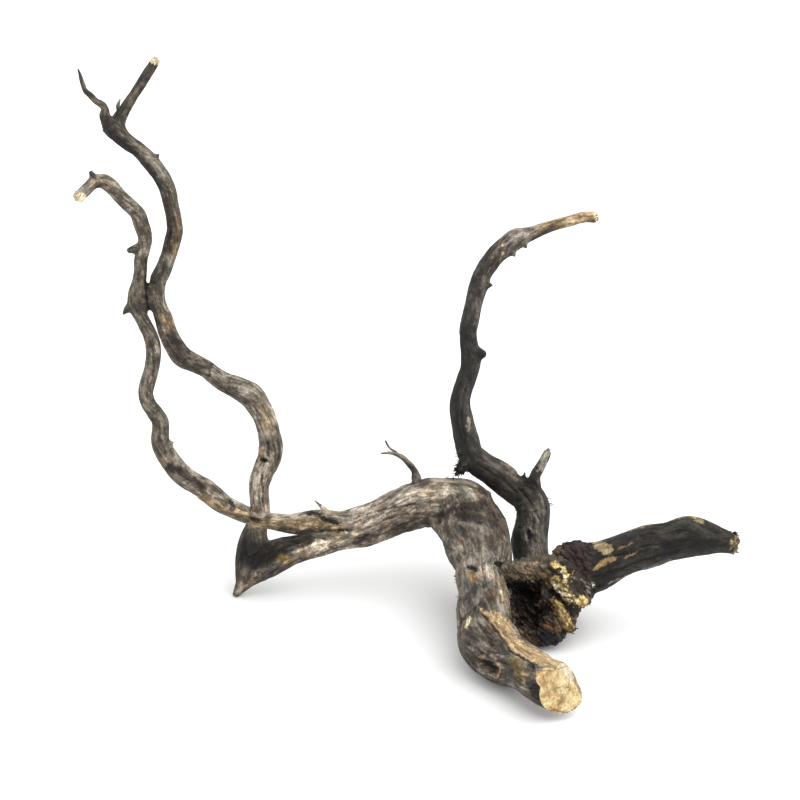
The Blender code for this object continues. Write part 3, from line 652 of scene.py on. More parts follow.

# How pale each part is, places across and up with a factor, 1 for the silvered arm: partly the weathered
# tone of the wood, partly painted shade, as on the shaded saddle of the heel and the front of the knee
TONE_AND_SHADE = {
    "arm": [
        (-250, 90, 0.38), (-228, 118, 0.17), (-200, 140, 0.6), (-165, 145, 1.15), (-120, 160, 1.2),
        (-60, 180, 0.92), (-20, 195, 0.7), (-12, 150, 0.3), (-5, 110, 0.58), (-4, 80, 0.52),
        (5, 40, 0.5), (60, 0, 0.54),
    ],
    "twig": [(-70, 200, 0.35), (-95, 228, 0.5), (-390, 580, 0.6)],
    "right": [
        (50, 110, 0.24), (45, 165, 0.24), (0, 212, 0.14), (-25, 260, 0.06), (-20, 330, 0.08),
        (-5, 400, 0.26), (40, 445, 0.65), (100, 463, 1.45),
    ],
    "root": [(110, 110, 0.07), (200, 140, 0.09)],
    "foot": [(30, 150, 0.3)],
    "back": [
        (-235, 130, 0.28), (-228, 185, 1.15), (-218, 245, 0.82), (-265, 300, 0.58), (-315, 340, 0.55),
        (-328, 400, 0.5), (-318, 460, 0.42), (-370, 550, 0.22), (-335, 610, 0.25),
    ],
    "front": [
        (-200, 155, 0.8), (-240, 165, 0.86), (-300, 200, 0.78), (-326, 250, 0.54), (-338, 330, 0.36),
        (-345, 400, 0.43), (-345, 450, 0.52), (-400, 490, 0.78),
    ],
}

# Carved forms by place: height (negative cuts in), half width, then points across and up
CARVINGS = {
    "trunk": [
        (-2.4, 6, -58, 160, -42, 165, -30, 172, -18, 174, -4, 175),
        (-1.8, 2.2, -28, 173, -18, 174.5, -6, 174), (-0.9, 1.6, -54, 163, -40, 167, -28, 173),
        (1.8, 5, -52, 178, -30, 184, -14, 187, 0, 184), (-1, 1.4, -40, 196, -22, 195, -8, 190),
        (-0.9, 1.3, -2, 180, 9, 163, 16, 140), (-1.6, 5, -28, 164, -10, 161),
        (1.8, 3.6, -32, 156, -16, 155, 2, 146), (-1, 1.6, 4, 184, 13, 168, 18, 150),
        (-3.2, 2.8, -18, 113, -12, 111), (-1.6, 3.4, -17, 104, -13, 103), (-2.6, 2.6, 9, 117, 19, 111),
        (-1.4, 6.5, 7, 64, 16, 56, 24, 40, 35, 30, 49, 22, 73, 16),
        (-1.5, 1.3, -5.4, 67, 5.5, 55, 14, 44, 23, 30, 35.5, 22, 49.7, 14.5),
        (-2.2, 8, 50, -9, 58, -16), (-3, 2.6, 45, 14.5, 49, 13.5), (-1.8, 3.2, -21, 53, -16.5, 62),
        (-1.5, 2.4, -29, 50, -24, 61, -15, 70, -6, 78), (1.2, 6, -22, 44, -16, 60),
        (-5, 5, -2, 16, 7, 11), (1.8, 2.4, -7, 24, 1, 25, 9, 22, 12, 12, 10, 3),
    ],
    "arm": [
        (-2.2, 3, -178, 168, -168, 166), (-2.4, 2.8, -165, 162, -150, 157),
        (-1.8, 1.8, -202, 146, -172, 149, -140, 149), (-3, 7, -202, 143, -182, 140),
        (-3.4, 11, -242, 122, -226, 120, -212, 128), (1.6, 4, -232, 103, -204, 123, -176, 132),
        (-1.2, 2.2, -129, 139, -112, 143), (-1, 1.4, -120, 166, -96, 172, -72, 176),
        (-0.9, 1.3, -104, 160, -84, 166, -58, 165),
    ],
    "front": [
        (-2.6, 4, -317, 212, -300, 203, -284, 191), (-2, 2.2, -256, 178, -253, 171),
        (-2.4, 2.4, -235, 161, -227, 158), (1.2, 2.6, -287, 182, -262, 171, -240, 165),
        (-2.2, 2, -341.5, 383, -341, 380),
        (-1.8, 1.6, -339, 399, -341, 389, -341.5, 382, -339.5, 375, -337, 368),
        (-1.2, 1.5, -333, 330, -334, 305),
    ],
    "back": [
        (2.2, 2.8, -226, 232, -225, 226), (-3.2, 2.4, -226, 219.5, -222, 219),
        (-1.4, 1.8, -219, 238, -219, 224), (-1.5, 1.7, -225, 204, -223.5, 178),
        (-1.6, 2, -275, 317, -278, 304), (-1.2, 1.6, -327, 400, -322, 425, -316, 450),
    ],
    "right": [
        (-3, 3, 41, 148, 43, 143), (-1.4, 2, 46, 168, 47, 150), (-1.6, 3, 40, 197, 50, 192),
        (1.4, 3, 34, 196, 41, 186), (-1.2, 1.6, -22, 290, -26, 262, -22, 238),
        (-1.2, 1.8, -10, 215, 12, 203, 30, 188), (1.2, 2.4, 0, 232, 14, 221, 28, 209),
        (-1.4, 1.6, 34, 190, 44, 176, 52, 160),
    ],
    "root": [
        (-1, 1.5, 115, 104, 150, 118, 190, 128), (-0.9, 1.3, 128, 124, 160, 134, 200, 140),
        (-0.8, 1.2, 120, 132, 150, 143, 185, 151), (1.3, 2.6, 108, 110, 115, 117, 127, 121),
        (-3, 4, 207, 161, 217, 156, 228, 150),
    ],
    "crown": [
        (2.4, 2.6, 84, 104, 94, 101, 101.5, 92.5, 99.5, 84), (-3.5, 5, 84, 98, 92, 91),
        (2.6, 3.6, 67, 114, 77, 110, 80, 98, 73, 94, 78, 86, 86, 77, 98, 80),
        (-4.5, 3.6, 64, 90, 78, 76, 88, 66), (3, 4.4, 71, 75, 77, 64, 83, 52),
    ],
}

# Soft changes of colour by place: wash, half width, then points across and up; the deep and dim washes
# that lie over inward carvings are painted shade in those pits, folds and hollows
WASHES = {
    "arm": [
        # Painted shade along the lower edge of the lit arm over the knee, painted light on the knee's top
        # and painted shade on its front
        ("dim", 5.5, -58, 158, -42, 163, -29, 170, -17, 173, -2, 175),
        ("deep", 3.2, -36, 171, -26, 173, -17, 174.5, -6, 175),
        ("pale", 5, -75, 185, -50, 186, -30, 189, -14, 191), ("dim", 9, -30, 150, -12, 166, 2, 160),
        ("pale", 3, -36, 158, -16, 155, 2, 147), ("pale", 4, -246, 90, -226, 104, -204, 120, -182, 128),
        ("pale", 4, -178, 132, -150, 138, -120, 146), ("deep", 4, -28, 165, -8, 161),
        ("russet", 8, -4, 188, 8, 172, 15, 152), ("pale", 6, -26, 136, -6, 131),
        ("pale", 5, -8, 113, 11, 100), ("slate", 10, -14, 92, -10, 76), ("russet", 5, 6, 91, 6, 80),
        ("deep", 3, 9, 118, 19, 111), ("russet", 7, 2, 52, 11, 36), ("slate", 6, 18, 48, 23, 10),
        # The first deep wash here, along the trunk's lower edge, is painted shade where the trunk nears
        # the floor
        ("deep", 5, -24, 16, -10, 2, 6, -8, 30, -20), ("dim", 9, -20, 45, -12, 26),
        ("yellow", 6, 28, 17, 34, 4), ("deep", 6, 44, -4, 53, -18), ("deep", 2.2, 44, 15, 48, 13.5),
        ("deep", 6, -77, 201, -62, 199), ("deep", 3, -178, 168, -168, 166),
        ("dim", 4, -165, 162, -150, 157), ("gold", 6, -232, 158, -200, 154, -170, 157, -146, 150),
        ("deep", 7, -203, 146, -180, 140),
        ("pale", 5, -246, 92, -232, 100, -204, 122, -176, 132, -150, 140),
        ("yellow", 4, -208, 123, -196, 118), ("deep", 4, -129, 139, -112, 143),
        ("dim", 5, -105, 150, -80, 152, -58, 156),
    ],
    "heel": [
        # Painted shade in the saddle between the left branches and the arm
        ("deep", 13, -242, 128, -228, 122, -206, 132),
    ],
    "back": [
        ("gold", 5, -222, 158, -221, 146), ("dim", 5, -243, 165, -240, 140),
        ("pale", 7, -222, 280, -217, 262), ("gold", 1.6, -221, 256, -220, 254),
        ("dim", 6, -215, 240, -212, 222), ("gold", 4.5, -309, 462, -308, 450, -312, 425),
        ("russet", 3.5, -320, 480, -317, 462, -319, 430), ("deep", 4, -316, 343, -306, 334, -298, 330),
        ("gold", 4, -322, 362, -314, 350),
        ("deep", 4.5, -384, 562, -377, 546, -355, 526, -335, 505, -326, 480),
        ("pale", 2.6, -360, 546, -342, 530, -328, 512, -318, 492),
        ("gold", 2.6, -357, 572, -340, 598, -328, 615), ("dim", 3.5, -370, 562, -357, 590, -342, 612),
        ("dim", 4, -338, 400, -330, 430, -322, 455), ("dim", 5, -290, 308, -312, 325),
        ("pale", 4, -322, 380, -322, 350),
    ],
    "front": [
        ("deep", 4.5, -317, 212, -300, 204, -284, 191), ("gold", 4, -287, 182, -262, 171, -240, 165),
        ("dim", 6, -330, 262, -333, 284), ("pale", 4, -336, 300, -331, 330),
        ("pale", 5, -345, 410, -343, 440),
    ],
    "right": [
        ("pale", 6, -19, 262, -15, 245), ("deep", 6, 40, 198, 52, 190), ("deep", 4, 57, 192, 61, 174),
        ("gold", 3.5, 35, 195, 41, 186), ("pale", 5, 47, 168, 53, 150), ("deep", 6, 27, 144, 31, 120),
        ("pale", 4, 54, 228, 58, 210), ("russet", 4, 32, 202, 38, 208), ("gold", 9, 58, 452, 108, 463),
        ("dim", 5, -30, 250, -32, 225), ("pale", 2.6, 0, 232, 14, 221, 28, 209),
        ("slate", 5, 58, 150, 58, 118),
    ],
    "root": [
        ("deep", 5, 180, 135, 228, 136), ("pale", 2.4, 120, 97, 151, 108, 184, 120),
        ("pale", 2.4, 112, 141, 140, 151, 170, 159, 203, 166),
    ],
}

# Painted areas by place: colour, strength, half width, then points across and up; the black, dark and
# umber strokes that lie along inward carvings are painted shade in those pits, folds and cracks
STROKES = {
    "trunk": [
        ("umber", 0.85, 2, -27, 173, -18, 174.5, -7, 174),
        ("umber", 0.6, 1.1, -54, 163, -40, 167, -28, 173),
        ("umber", 0.6, 0.9, -40, 196, -22, 195, -8, 190), ("umber", 0.6, 1, -2, 180, 9, 163, 16, 140),
        ("black", 0.85, 1.8, -18, 113, -12, 111), ("ochre", 0.8, 3, -17, 105, -13, 102),
        ("black", 0.8, 1.8, 9, 117, 19, 111), ("tan", 0.7, 1.1, 12, 96, 16, 88, 21, 72),
        ("cream", 0.8, 1, 14, 89, 16, 80), ("fresh", 0.9, 2.4, -4, 68.5, 3, 66),
        ("fresh", 0.92, 7, 7, 63, 16, 56, 24, 40, 35, 31, 49, 23, 75, 16),
        ("brown", 0.6, 1.2, 8, 58, 20, 44, 32, 32, 52, 24),
        ("umber", 0.85, 1.3, -5.4, 67, 5.5, 55, 14, 44, 23, 30, 35.5, 22, 49.7, 14.5),
        ("brown", 0.8, 3.4, -21, 53, -16, 62), ("cream", 0.95, 1.9, -21, 54, -17, 62),
        ("dark", 0.55, 1.1, -29, 50, -24, 61, -15, 70, -6, 78), ("umber", 0.85, 4.8, -2, 16, 7, 11),
        ("black", 0.85, 2.2, 0, 17, 9, 12), ("tan", 0.5, 1.4, -8, 23, -2, 24),
        ("tan", 0.6, 1.3, 8, 22, 12, 12, 10, 2), ("straw", 0.7, 1, 49, 13, 52, 0, 58, -20),
    ],
    "end": [
        ("bleach", 0.5, 7, 78, 14, 87, 3), ("rust", 0.4, 3, 53, 8, 56, -2, 60, -12),
        ("ochre", 0.4, 4, 63, 4, 68, -8), ("olive", 0.45, 0.7, 66, -9, 76, -6, 84, -9, 92, -8),
        ("olive", 0.4, 0.6, 74, -8, 75, -20, 71, -27), ("brown", 0.55, 0.9, 52, 10, 66, 9, 80, 14),
        ("brown", 0.7, 1.3, 86, 8, 89, -3, 96, -16, 94, -26, 82, -34, 68, -30),
    ],
    "arm": [
        ("black", 0.75, 1.4, -202, 146, -172, 149, -140, 149),
        ("black", 0.8, 2.2, -176, 167, -169, 166), ("black", 0.8, 2, -164, 162, -151, 157),
        ("tan", 0.5, 1.6, -153, 165, -162, 171), ("dark", 0.75, 2, -167, 175, -173, 181),
        ("white", 0.6, 1.2, -142, 148, -140, 147), ("dark", 0.6, 1, -120, 166, -96, 172, -72, 176),
        ("dark", 0.6, 0.9, -104, 160, -84, 166, -58, 165),
    ],
    "front": [
        ("dark", 0.8, 2.6, -256, 178, -253, 171), ("black", 0.75, 1.6, -235, 161, -228, 158),
        ("dark", 0.8, 1.8, -341.5, 383, -341, 380),
        ("dark", 0.7, 1, -339, 399, -341, 389, -341.5, 382, -339.5, 375, -337, 368),
        ("dark", 0.6, 1, -333, 330, -334, 305), ("cream", 0.9, 5.4, -411, 487, -404, 480),
        ("dark", 0.8, 3.4, -394, 504, -397, 509), ("dark", 0.7, 4, -358, 372, -364, 365),
        ("dark", 0.6, 3.5, -351, 431, -360, 429),
    ],
    "back": [
        ("tan", 0.8, 1.8, -226.5, 233, -225, 227), ("black", 0.9, 2, -226, 219.5, -222, 219),
        ("dark", 0.7, 1.2, -219, 238, -219, 224), ("umber", 0.75, 1.1, -225, 204, -223.5, 178),
        ("dark", 0.8, 1.5, -275, 317, -275.5, 316), ("dark", 0.8, 1.5, -278, 304, -278.5, 303),
        ("cream", 0.85, 4.6, -333, 622, -328, 618),
    ],
    "right": [
        ("black", 0.9, 2.6, 41, 148, 43, 143), ("dark", 0.7, 1.2, -10, 215, 12, 203, 30, 188),
        ("cream", 0.8, 1.2, 16, 427, 16, 426), ("cream", 0.7, 1, 16, 435, 15, 434),
        ("cream", 0.9, 3, 110, 465, 112, 461), ("bleach", 0.5, 3.4, 53, 212, 60, 229),
        ("bleach", 0.5, 1.6, -18, 262, -19, 250), ("grey", 0.5, 1, 6, 231, 20, 219, 30, 207),
    ],
    "root": [
        ("straw", 0.75, 5, 111, 136, 121, 129), ("ochre", 0.75, 2.4, 108, 110, 115, 117, 127, 121),
        ("tan", 0.7, 1, 107, 111, 114, 119, 126, 123), ("tan", 0.5, 0.9, 138, 122, 150, 128),
        ("tan", 0.5, 0.9, 132, 131, 146, 137),
        ("tan", 0.6, 1.4, 112, 140, 140, 150, 170, 158, 203, 165),
        ("straw", 0.75, 2.6, 205, 164, 215, 159), ("black", 0.7, 1.1, 115, 104, 150, 118, 190, 128),
        ("black", 0.6, 0.9, 128, 124, 160, 134, 200, 140),
        ("grey", 0.5, 0.8, 122, 97, 151, 108, 184, 120),
    ],
    "crown": [
        ("bark", 0.85, 7, 18, 113, 40, 117, 60, 119, 72, 127), ("ochre", 0.5, 2.5, 36, 112, 45, 115),
        # The black in the hollow, in the deep cleft and under the lobe is painted shade
        ("umber", 0.9, 5, 46, 102, 60, 92), ("black", 0.8, 9, 30, 92, 42, 84),
        ("black", 0.95, 3, 62, 90, 78, 76, 88, 66), ("black", 0.9, 6.5, 54, 40, 74, 36),
        ("ochre", 0.7, 5, 60, 104, 66, 97), ("bark", 0.75, 6, 16, 108, 32, 107, 50, 107),
        ("grey", 0.45, 2, 14, 113, 30, 116, 48, 117, 58, 113), ("tan", 0.7, 2.2, 38, 109, 46, 111),
        ("yellow", 0.95, 2.6, 66, 117, 76, 112, 80, 100),
        ("yellow", 0.92, 5.6, 70, 99, 76, 90, 85, 80, 96, 78),
        # The ivory lines on the yellow crest are partly pale fibre, partly painted highlight; the umber
        # lines between them are painted shade in the gaps
        ("ivory", 0.9, 2.2, 66, 98, 72, 90, 80, 83, 88, 79),
        ("ivory", 0.85, 1.5, 75, 112, 79, 102, 82, 94), ("umber", 0.85, 0.9, 66, 100, 74, 97, 80, 92),
        ("umber", 0.85, 0.9, 70, 91, 78, 88, 86, 86), ("umber", 0.85, 0.9, 76, 83, 84, 82, 92, 84),
        ("ochre", 0.85, 5.2, 69, 76, 75, 64, 82, 52),
        ("yellow", 0.6, 1.6, 64, 81, 72, 76, 80, 66, 87, 53), ("bark", 0.7, 3, 70, 62, 75, 55),
        ("rust", 0.5, 3.2, 60, 54, 72, 51), ("straw", 0.7, 1.2, 66, 80, 74, 66, 82, 52),
        ("brown", 0.7, 4, 30, 44, 48, 38), ("maroon", 0.97, 11, 86, 133, 93, 120, 95, 108),
        ("dark", 0.9, 5, 84, 99, 93, 91), ("dark", 0.9, 3, 84, 74, 90, 66),
        ("grey", 0.7, 1.1, 84, 104, 94, 101, 101.5, 92.5, 99.5, 84),
        ("white", 0.95, 1.5, 106, 97, 106.5, 94), ("cream", 0.95, 1.7, 22, 84, 24, 90),
        ("straw", 0.8, 1, 37, 107, 47, 98),
    ],
}


def stroke_distance(sight, numbers, warp):
    """Distance from a drawn line, seen along the line of sight."""
    spot = sight[:, :2] + warp
    line = np.reshape(numbers, (-1, 2)).astype(float)
    best = np.full(len(spot), 1e9)
    for first, last in zip(line[:-1], line[1:]):
        span = last - first
        t = np.clip(((spot - first) @ span) / (span @ span), 0.0, 1.0)
        gap = spot - first - t[:, None] * span
        best = np.minimum(best, np.hypot(gap[:, 0], gap[:, 1]))
    return best


def facing(points, normals):
    """1 where the surface looks towards the side that the lines were drawn on."""
    sight = EYE - points
    sight /= np.linalg.norm(sight, axis=1)[:, None]
    return smoothstep(-0.15, 0.08, np.einsum("ij,ij->i", sight, normals))


def carve(survey, normals):
    """Height of the listed folds, pits and chips, millimetres."""
    height = np.zeros(len(survey.points))
    turned = facing(survey.points, normals)
    waver = Noise(41)
    warp = np.column_stack((waver.at(survey.points / 7.0), waver.at(survey.points / 7.0 + 31.7))) * 1.6
    for place, rows in CARVINGS.items():
        chosen = np.flatnonzero(survey.named(*PLACES[place]) & (turned > 0.0))
        for amount, width, *line in rows:
            distance = stroke_distance(survey.sight[chosen], line, warp[chosen])
            height[chosen] += amount * smoothstep(width * 1.35, width * 0.35, distance) * turned[chosen]
    return height


def relief(survey):
    """Height of the weathered grain over the smooth limbs, millimetres."""
    lumps, flutes, cracks, fibres, wander, patch, knots = (Noise(seed) for seed in range(11, 18))

    def swell(flat, radius):
        return lumps.layered(flat / (22.0, 22.0, 36.0), 2) * 1.9 * np.clip(radius / 24.0, 0.34, 1.15)

    def pattern(flat, radius):
        count = len(flat)
        sway = wander.at(flat / (18.0, 18.0, 34.0)) * 3.0
        bent = flat + np.column_stack((sway, -sway, np.zeros(count)))
        big = np.clip(radius / 24.0, 0.34, 1.15)
        layer = (1.0 - np.abs(flutes.at(bent / (8.5, 8.5, 60.0))) * 2.2) * 0.45 * big
        some = smoothstep(-0.1, 0.35, patch.at(flat / (20.0, 20.0, 60.0)))
        slit = cracks.at(bent / (6.0, 6.0, 44.0))
        layer -= np.exp(-(slit / 0.05) ** 2) * 1.3 * big * some
        layer += fibres.at(bent / (2.1, 2.1, 18.0)) * 0.28 * np.sqrt(big)
        layer += knots.layered(flat / (4.6, 4.6, 9.0), 2) * 0.42 * np.sqrt(big)
        return layer

    smooth = 1.0 - 0.72 * survey.nearness("right_root")
    return survey.along_grain(swell) * smooth + survey.along_grain(pattern) - 0.4


def crown_mask(survey):
    """1 in the rotten wood of the crown."""
    soft = survey.nearness(*CROWN_NAMES)
    across = survey.sight[:, 0]
    root_start = survey.named("right_root") * smoothstep(112.0, 92.0, across)
    return np.maximum(soft, root_start)


def decay(survey):
    """How crumbled the crown is: its knuckle and its lip have stayed firmer."""
    firm = 0.8 * survey.nearness("crown_knuckle") + 0.2 * survey.nearness("crown_lip")
    return crown_mask(survey) * (1.0 - np.clip(firm, 0.0, 0.85))


def rot_relief(survey):
    """Ragged lumps, steps and pits of the rotten crown, millimetres."""
    rough = Noise(31)
    pits = Noise(32)
    grit = Noise(33)
    points = survey.sight @ np.array(((0.78, 0.63, 0.0), (-0.63, 0.78, 0.0), (0.0, 0.0, 1.0)))
    lumps = rough.layered(points / (24.0, 11.0, 17.0), 3, 0.55) * 3.4
    steps = np.abs(pits.layered(points / (18.0, 6.5, 12.0), 2, 0.5))
    fine = grit.layered(points / (6.0, 2.4, 4.0), 2, 0.6) * 0.6
    return lumps - np.exp(-(steps / 0.10) ** 2) * 2.6 + steps * 2.0 + fine


def broken_relief(points):
    """The torn face of a root that was snapped off, millimetres."""
    torn = Noise(35)
    return torn.layered(points / 6.5, 3, 0.6) * 2.6


def smooth_crotches(points, edges, weight, rounds):
    count = len(points)
    for _ in range(rounds):
        mean = neighbour_mean(points, edges, count)
        points = points + (mean - points) * (0.55 * weight)[:, None]
    return points


def sawn_mask(points, only=""):
    """1 on the flat faces of the sawn ends, or on the end of one limb only."""
    mask = np.zeros(len(points))
    for name, point, normal in SAWN_ENDS:
        if name.startswith(only):
            spot, out = cut_plane(point, normal)
            past = (points - spot) @ out
            close = np.linalg.norm(points - spot, axis=1) < END_REACH
            mask = np.maximum(mask, smoothstep(-2.6, -1.3, past) * close)
    return mask


def blend(colour, other, amount):
    return colour + (other - colour) * amount[:, None]


def ramp(stops, value):
    """A colour between evenly spaced stops."""
    place = np.clip(value, 0.0, 1.0) * (len(stops) - 1)
    low = np.minimum(place.astype(int), len(stops) - 2)
    stops = np.array(stops)
    return stops[low] + (stops[low + 1] - stops[low]) * (place - low)[:, None]


def tone_and_shade_of_limbs(survey):
    """How pale each part is, weathered tone and painted shade, between the places of TONE_AND_SHADE."""
    shade = np.ones(len(survey.points))
    for place, anchors in TONE_AND_SHADE.items():
        chosen = np.flatnonzero(survey.named(*PLACES[place]))
        if not len(chosen):
            continue
        total = np.zeros(len(chosen))
        weights = np.zeros(len(chosen))
        for across, up, value in anchors:
            gap = np.hypot(survey.sight[chosen, 0] - across, survey.sight[chosen, 1] - up)
            weight = 1.0 / (gap + 4.0) ** 3
            total += weight * value
            weights += weight
        shade[chosen] = total / weights
    return shade


def tint(survey, normals, hollow_shade, edge_wear_and_highlight):
    """Colour of the surface, how rotten it is and how free of grain."""
    points = survey.points
    broad, streak, stain, speck, warm, mottle = (Noise(seed) for seed in range(81, 87))
    wide = survey.along_grain(lambda flat, radius: broad.layered(flat / (12.0, 12.0, 34.0), 3))
    narrow = survey.along_grain(lambda flat, radius: streak.layered(flat / (2.4, 2.4, 22.0), 2))
    spots = survey.along_grain(lambda flat, radius: mottle.layered(flat / (4.2, 4.2, 9.0), 3, 0.6))
    patches = stain.layered(points / 15.0, 4, 0.6)
    dots = speck.layered(points / 2.4, 2)
    # Faces turned up are paler and faces turned down darker: partly bleaching of the tops, partly painted
    # light from above
    top_light_and_bleach = smoothstep(-0.7, 0.9, normals[:, 2])
    tone = 0.39 + 0.25 * wide + 0.20 * narrow + 0.26 * spots + 0.26 * patches + 0.16 * dots
    tone += 0.24 * top_light_and_bleach
    colour = ramp(WOOD_TONES, tone)
    warmth = warm.layered(points / 21.0, 3)
    brown = smoothstep(0.08, 0.5, warmth)[:, None]
    green = smoothstep(0.12, 0.5, -warmth)[:, None]
    cast = brown * np.array((0.04, -0.06, -0.17)) + green * np.array((-0.04, -0.01, -0.06))
    colour = colour * (1.0 + cast)
    # Each part's weathered tone, together with painted shade
    shade = tone_and_shade_of_limbs(survey)
    # On the right branch, faces turned right and up are paler: painted light on that side
    painted_rim_light = 0.62 + 0.85 * smoothstep(-0.1, 0.9, normals @ np.array((0.80, 0.10, 0.59)))
    shade = np.where(survey.named(*PLACES["right"]), shade * painted_rim_light, shade)
    colour = colour * shade[:, None]

    crown_part = crown_mask(survey)
    # The rot is paler on its ridges: partly wear, partly painted highlight
    rot_tone = 0.30 + 0.62 * stain.layered(points / 9.0, 4, 0.6) + 0.35 * edge_wear_and_highlight + 0.12 * dots
    colour = blend(colour, ramp(ROT_TONES, rot_tone), smoothstep(0.25, 0.75, crown_part + 0.25 * patches))
    # Painted shade in the hollows and creases
    colour = blend(colour, colour * 0.22, 0.8 * hollow_shade)
    # Edges and ridges are paler: wear, and partly painted highlight
    colour = blend(colour, np.minimum(colour * 1.7, COLOURS["cream"]), 0.5 * edge_wear_and_highlight)

    ends = sawn_mask(points)
    saw = sawn_mask(points, "trunk")
    marks = stain.layered(points / 9.0, 4, 0.6)
    face = ramp(SAWN_TONES, 0.40 + 0.7 * marks + 0.4 * dots)
    torn = ramp(TORN_TONES, 0.5 + 0.8 * stain.layered(points / 4.0, 3))
    colour = blend(colour, torn, ends - saw)
    colour = blend(colour, face, saw)

    turned = facing(points, normals)
    ragged = np.column_stack((stain.layered(points / 5.0, 3), stain.layered(points / 5.0 + 9.1, 3))) * 2.8
    for place, rows in WASHES.items():
        chosen = np.flatnonzero(survey.named(*PLACES[place]) & (turned > 0.0) & (ends < 0.5))
        for name, width, *line in rows:
            distance = stroke_distance(survey.sight[chosen], line, ragged[chosen])
            amount = smoothstep(width * 1.5, width * 0.5, distance) * turned[chosen]
            colour[chosen] *= 1.0 + (np.array(WASHES_BY_NAME[name]) - 1.0) * amount[:, None]

    calm = np.maximum(0.7 * crown_part, 0.97 * ends)
    crumbly = 0.25 + 0.75 * smoothstep(-0.22, 0.06, speck.layered(points / 3.2 + 5.0, 2))
    uneven = np.clip(1.0 + 0.30 * dots + 0.25 * narrow + 0.35 * spots, 0.4, 1.8)[:, None]
    for place, rows in STROKES.items():
        if place == "end":
            chosen = np.flatnonzero(saw > 0.5)
        else:
            chosen = np.flatnonzero(survey.named(*PLACES[place]) & (turned > 0.0) & (ends < 0.5))
        for name, strength, width, *line in rows:
            distance = stroke_distance(survey.sight[chosen], line, ragged[chosen] * min(width / 3.0, 1.0))
            amount = strength * smoothstep(width * 1.15, width * 0.8, distance) * turned[chosen]
            if place == "crown" and COLOURS[name][0] > CRUMBLING:
                amount *= crumbly[chosen]
            colour[chosen] = blend(colour[chosen], COLOURS[name] * uneven[chosen], amount)
            if name == "maroon":
                calm[chosen] = np.maximum(calm[chosen], amount)
    # More painted shade in the hollows and creases, except on the sawn face
    colour = blend(colour, colour * 0.3, 0.55 * hollow_shade * (1.0 - saw))
    knee = np.exp(-((survey.sight[:, 0] + 10.0) / 32.0) ** 2 - ((survey.sight[:, 1] - 145.0) / 40.0) ** 2)
    calm = np.maximum(calm, 0.55 * knee * survey.named("trunk"))
    return np.clip(colour, 0.0, 1.0), np.maximum(decay(survey), 0.8 * (ends - saw)), calm


def build_surface(limbs):
    """Fuse, hollow and carve the wood; returns its object and survey."""
    rotten = [limb for limb in limbs if limb.name in HOLLOWED]
    sound = [limb for limb in limbs if limb.name not in HOLLOWED]
    crown = tube_mesh("crown", rotten, TUBE_STEP, TUBE_SIDES)
    remesh(crown, HOLLOW_VOXEL)
    cutters = []
    for number, (centre, radii) in enumerate(HOLLOWS):
        cutter = hollow_object("hollow_%d" % number, centre, radii, 50 + number)
        cutters.append(cutter)
        cut = crown.modifiers.new("hollow_%d" % number, "BOOLEAN")
        cut.operation = "DIFFERENCE"
        cut.object = cutter
        cut.solver = "EXACT"
    bake(crown)
    for cutter in cutters:
        bpy.data.objects.remove(cutter, do_unlink=True)
    wood = tube_mesh("wood", sound, TUBE_STEP, TUBE_SIDES)
    both = bmesh.new()
    both.from_mesh(wood.data)
    both.from_mesh(crown.data)
    both.to_mesh(wood.data)
    both.free()
    bpy.data.objects.remove(crown, do_unlink=True)
    remesh(wood, VOXEL)
    wood.modifiers.new("triangles", "TRIANGULATE")
    data = bake(wood)

    points, _, edges = mesh_arrays(data)
    survey = Survey(points, limbs)
    crotch = smoothstep(0.75, 0.05, survey.crotch)
    ends = sawn_mask(points)
    crown_part = crown_mask(survey)
    rounds = max(int(18 * (REFERENCE_VOXEL / VOXEL) ** 2), 6)
    weight = np.clip(crotch, 0.05, 1.0) * (1.0 - ends) * (1.0 - 0.6 * crown_part)
    points = smooth_crotches(points, edges, weight, rounds)
    move_to(data, points)
    points, normals, _ = mesh_arrays(data)
    height = relief(survey) * (1.0 - 0.75 * crown_part)
    height += rot_relief(survey) * decay(survey)
    height += carve(survey, normals)
    height *= 1.0 - 0.93 * ends
    height += broken_relief(points) * sawn_mask(points, "right_root")
    points = points + normals * height[:, None]
    points[:, 2] = np.maximum(points[:, 2], 0.0)
    move_to(data, points)
    survey.points = points
    survey.sight = to_sight(points)
    return wood, survey


def curvature(points, normals, edges):
    """Painted shade in the hollows, and wear with painted highlight on the edges, each 0 to 1."""
    count = len(points)
    mean = neighbour_mean(points, edges, count)
    hollow = np.einsum("ij,ij->i", mean - points, normals)[:, None]
    for _ in range(2):
        hollow = 0.5 * hollow + 0.5 * neighbour_mean(hollow, edges, count)
    wide = points
    for _ in range(max(int(16 * (REFERENCE_VOXEL / VOXEL) ** 2), 8)):
        wide = neighbour_mean(wide, edges, count)
    sink = np.einsum("ij,ij->i", wide - points, normals)
    near = hollow[:, 0] * REFERENCE_VOXEL / VOXEL
    # Painted shade where the surface sinks in
    hollow_shade = smoothstep(0.04, 0.30, near) * 0.55 + smoothstep(0.15, 1.3, sink) * 0.6
    # Ridges and edges: wear, and partly painted highlight
    edge_wear_and_highlight = smoothstep(0.03, 0.25, -near) * 0.6 + smoothstep(0.2, 1.2, -sink) * 0.4
    return np.clip(hollow_shade, 0.0, 1.0), np.clip(edge_wear_and_highlight, 0.0, 1.0)


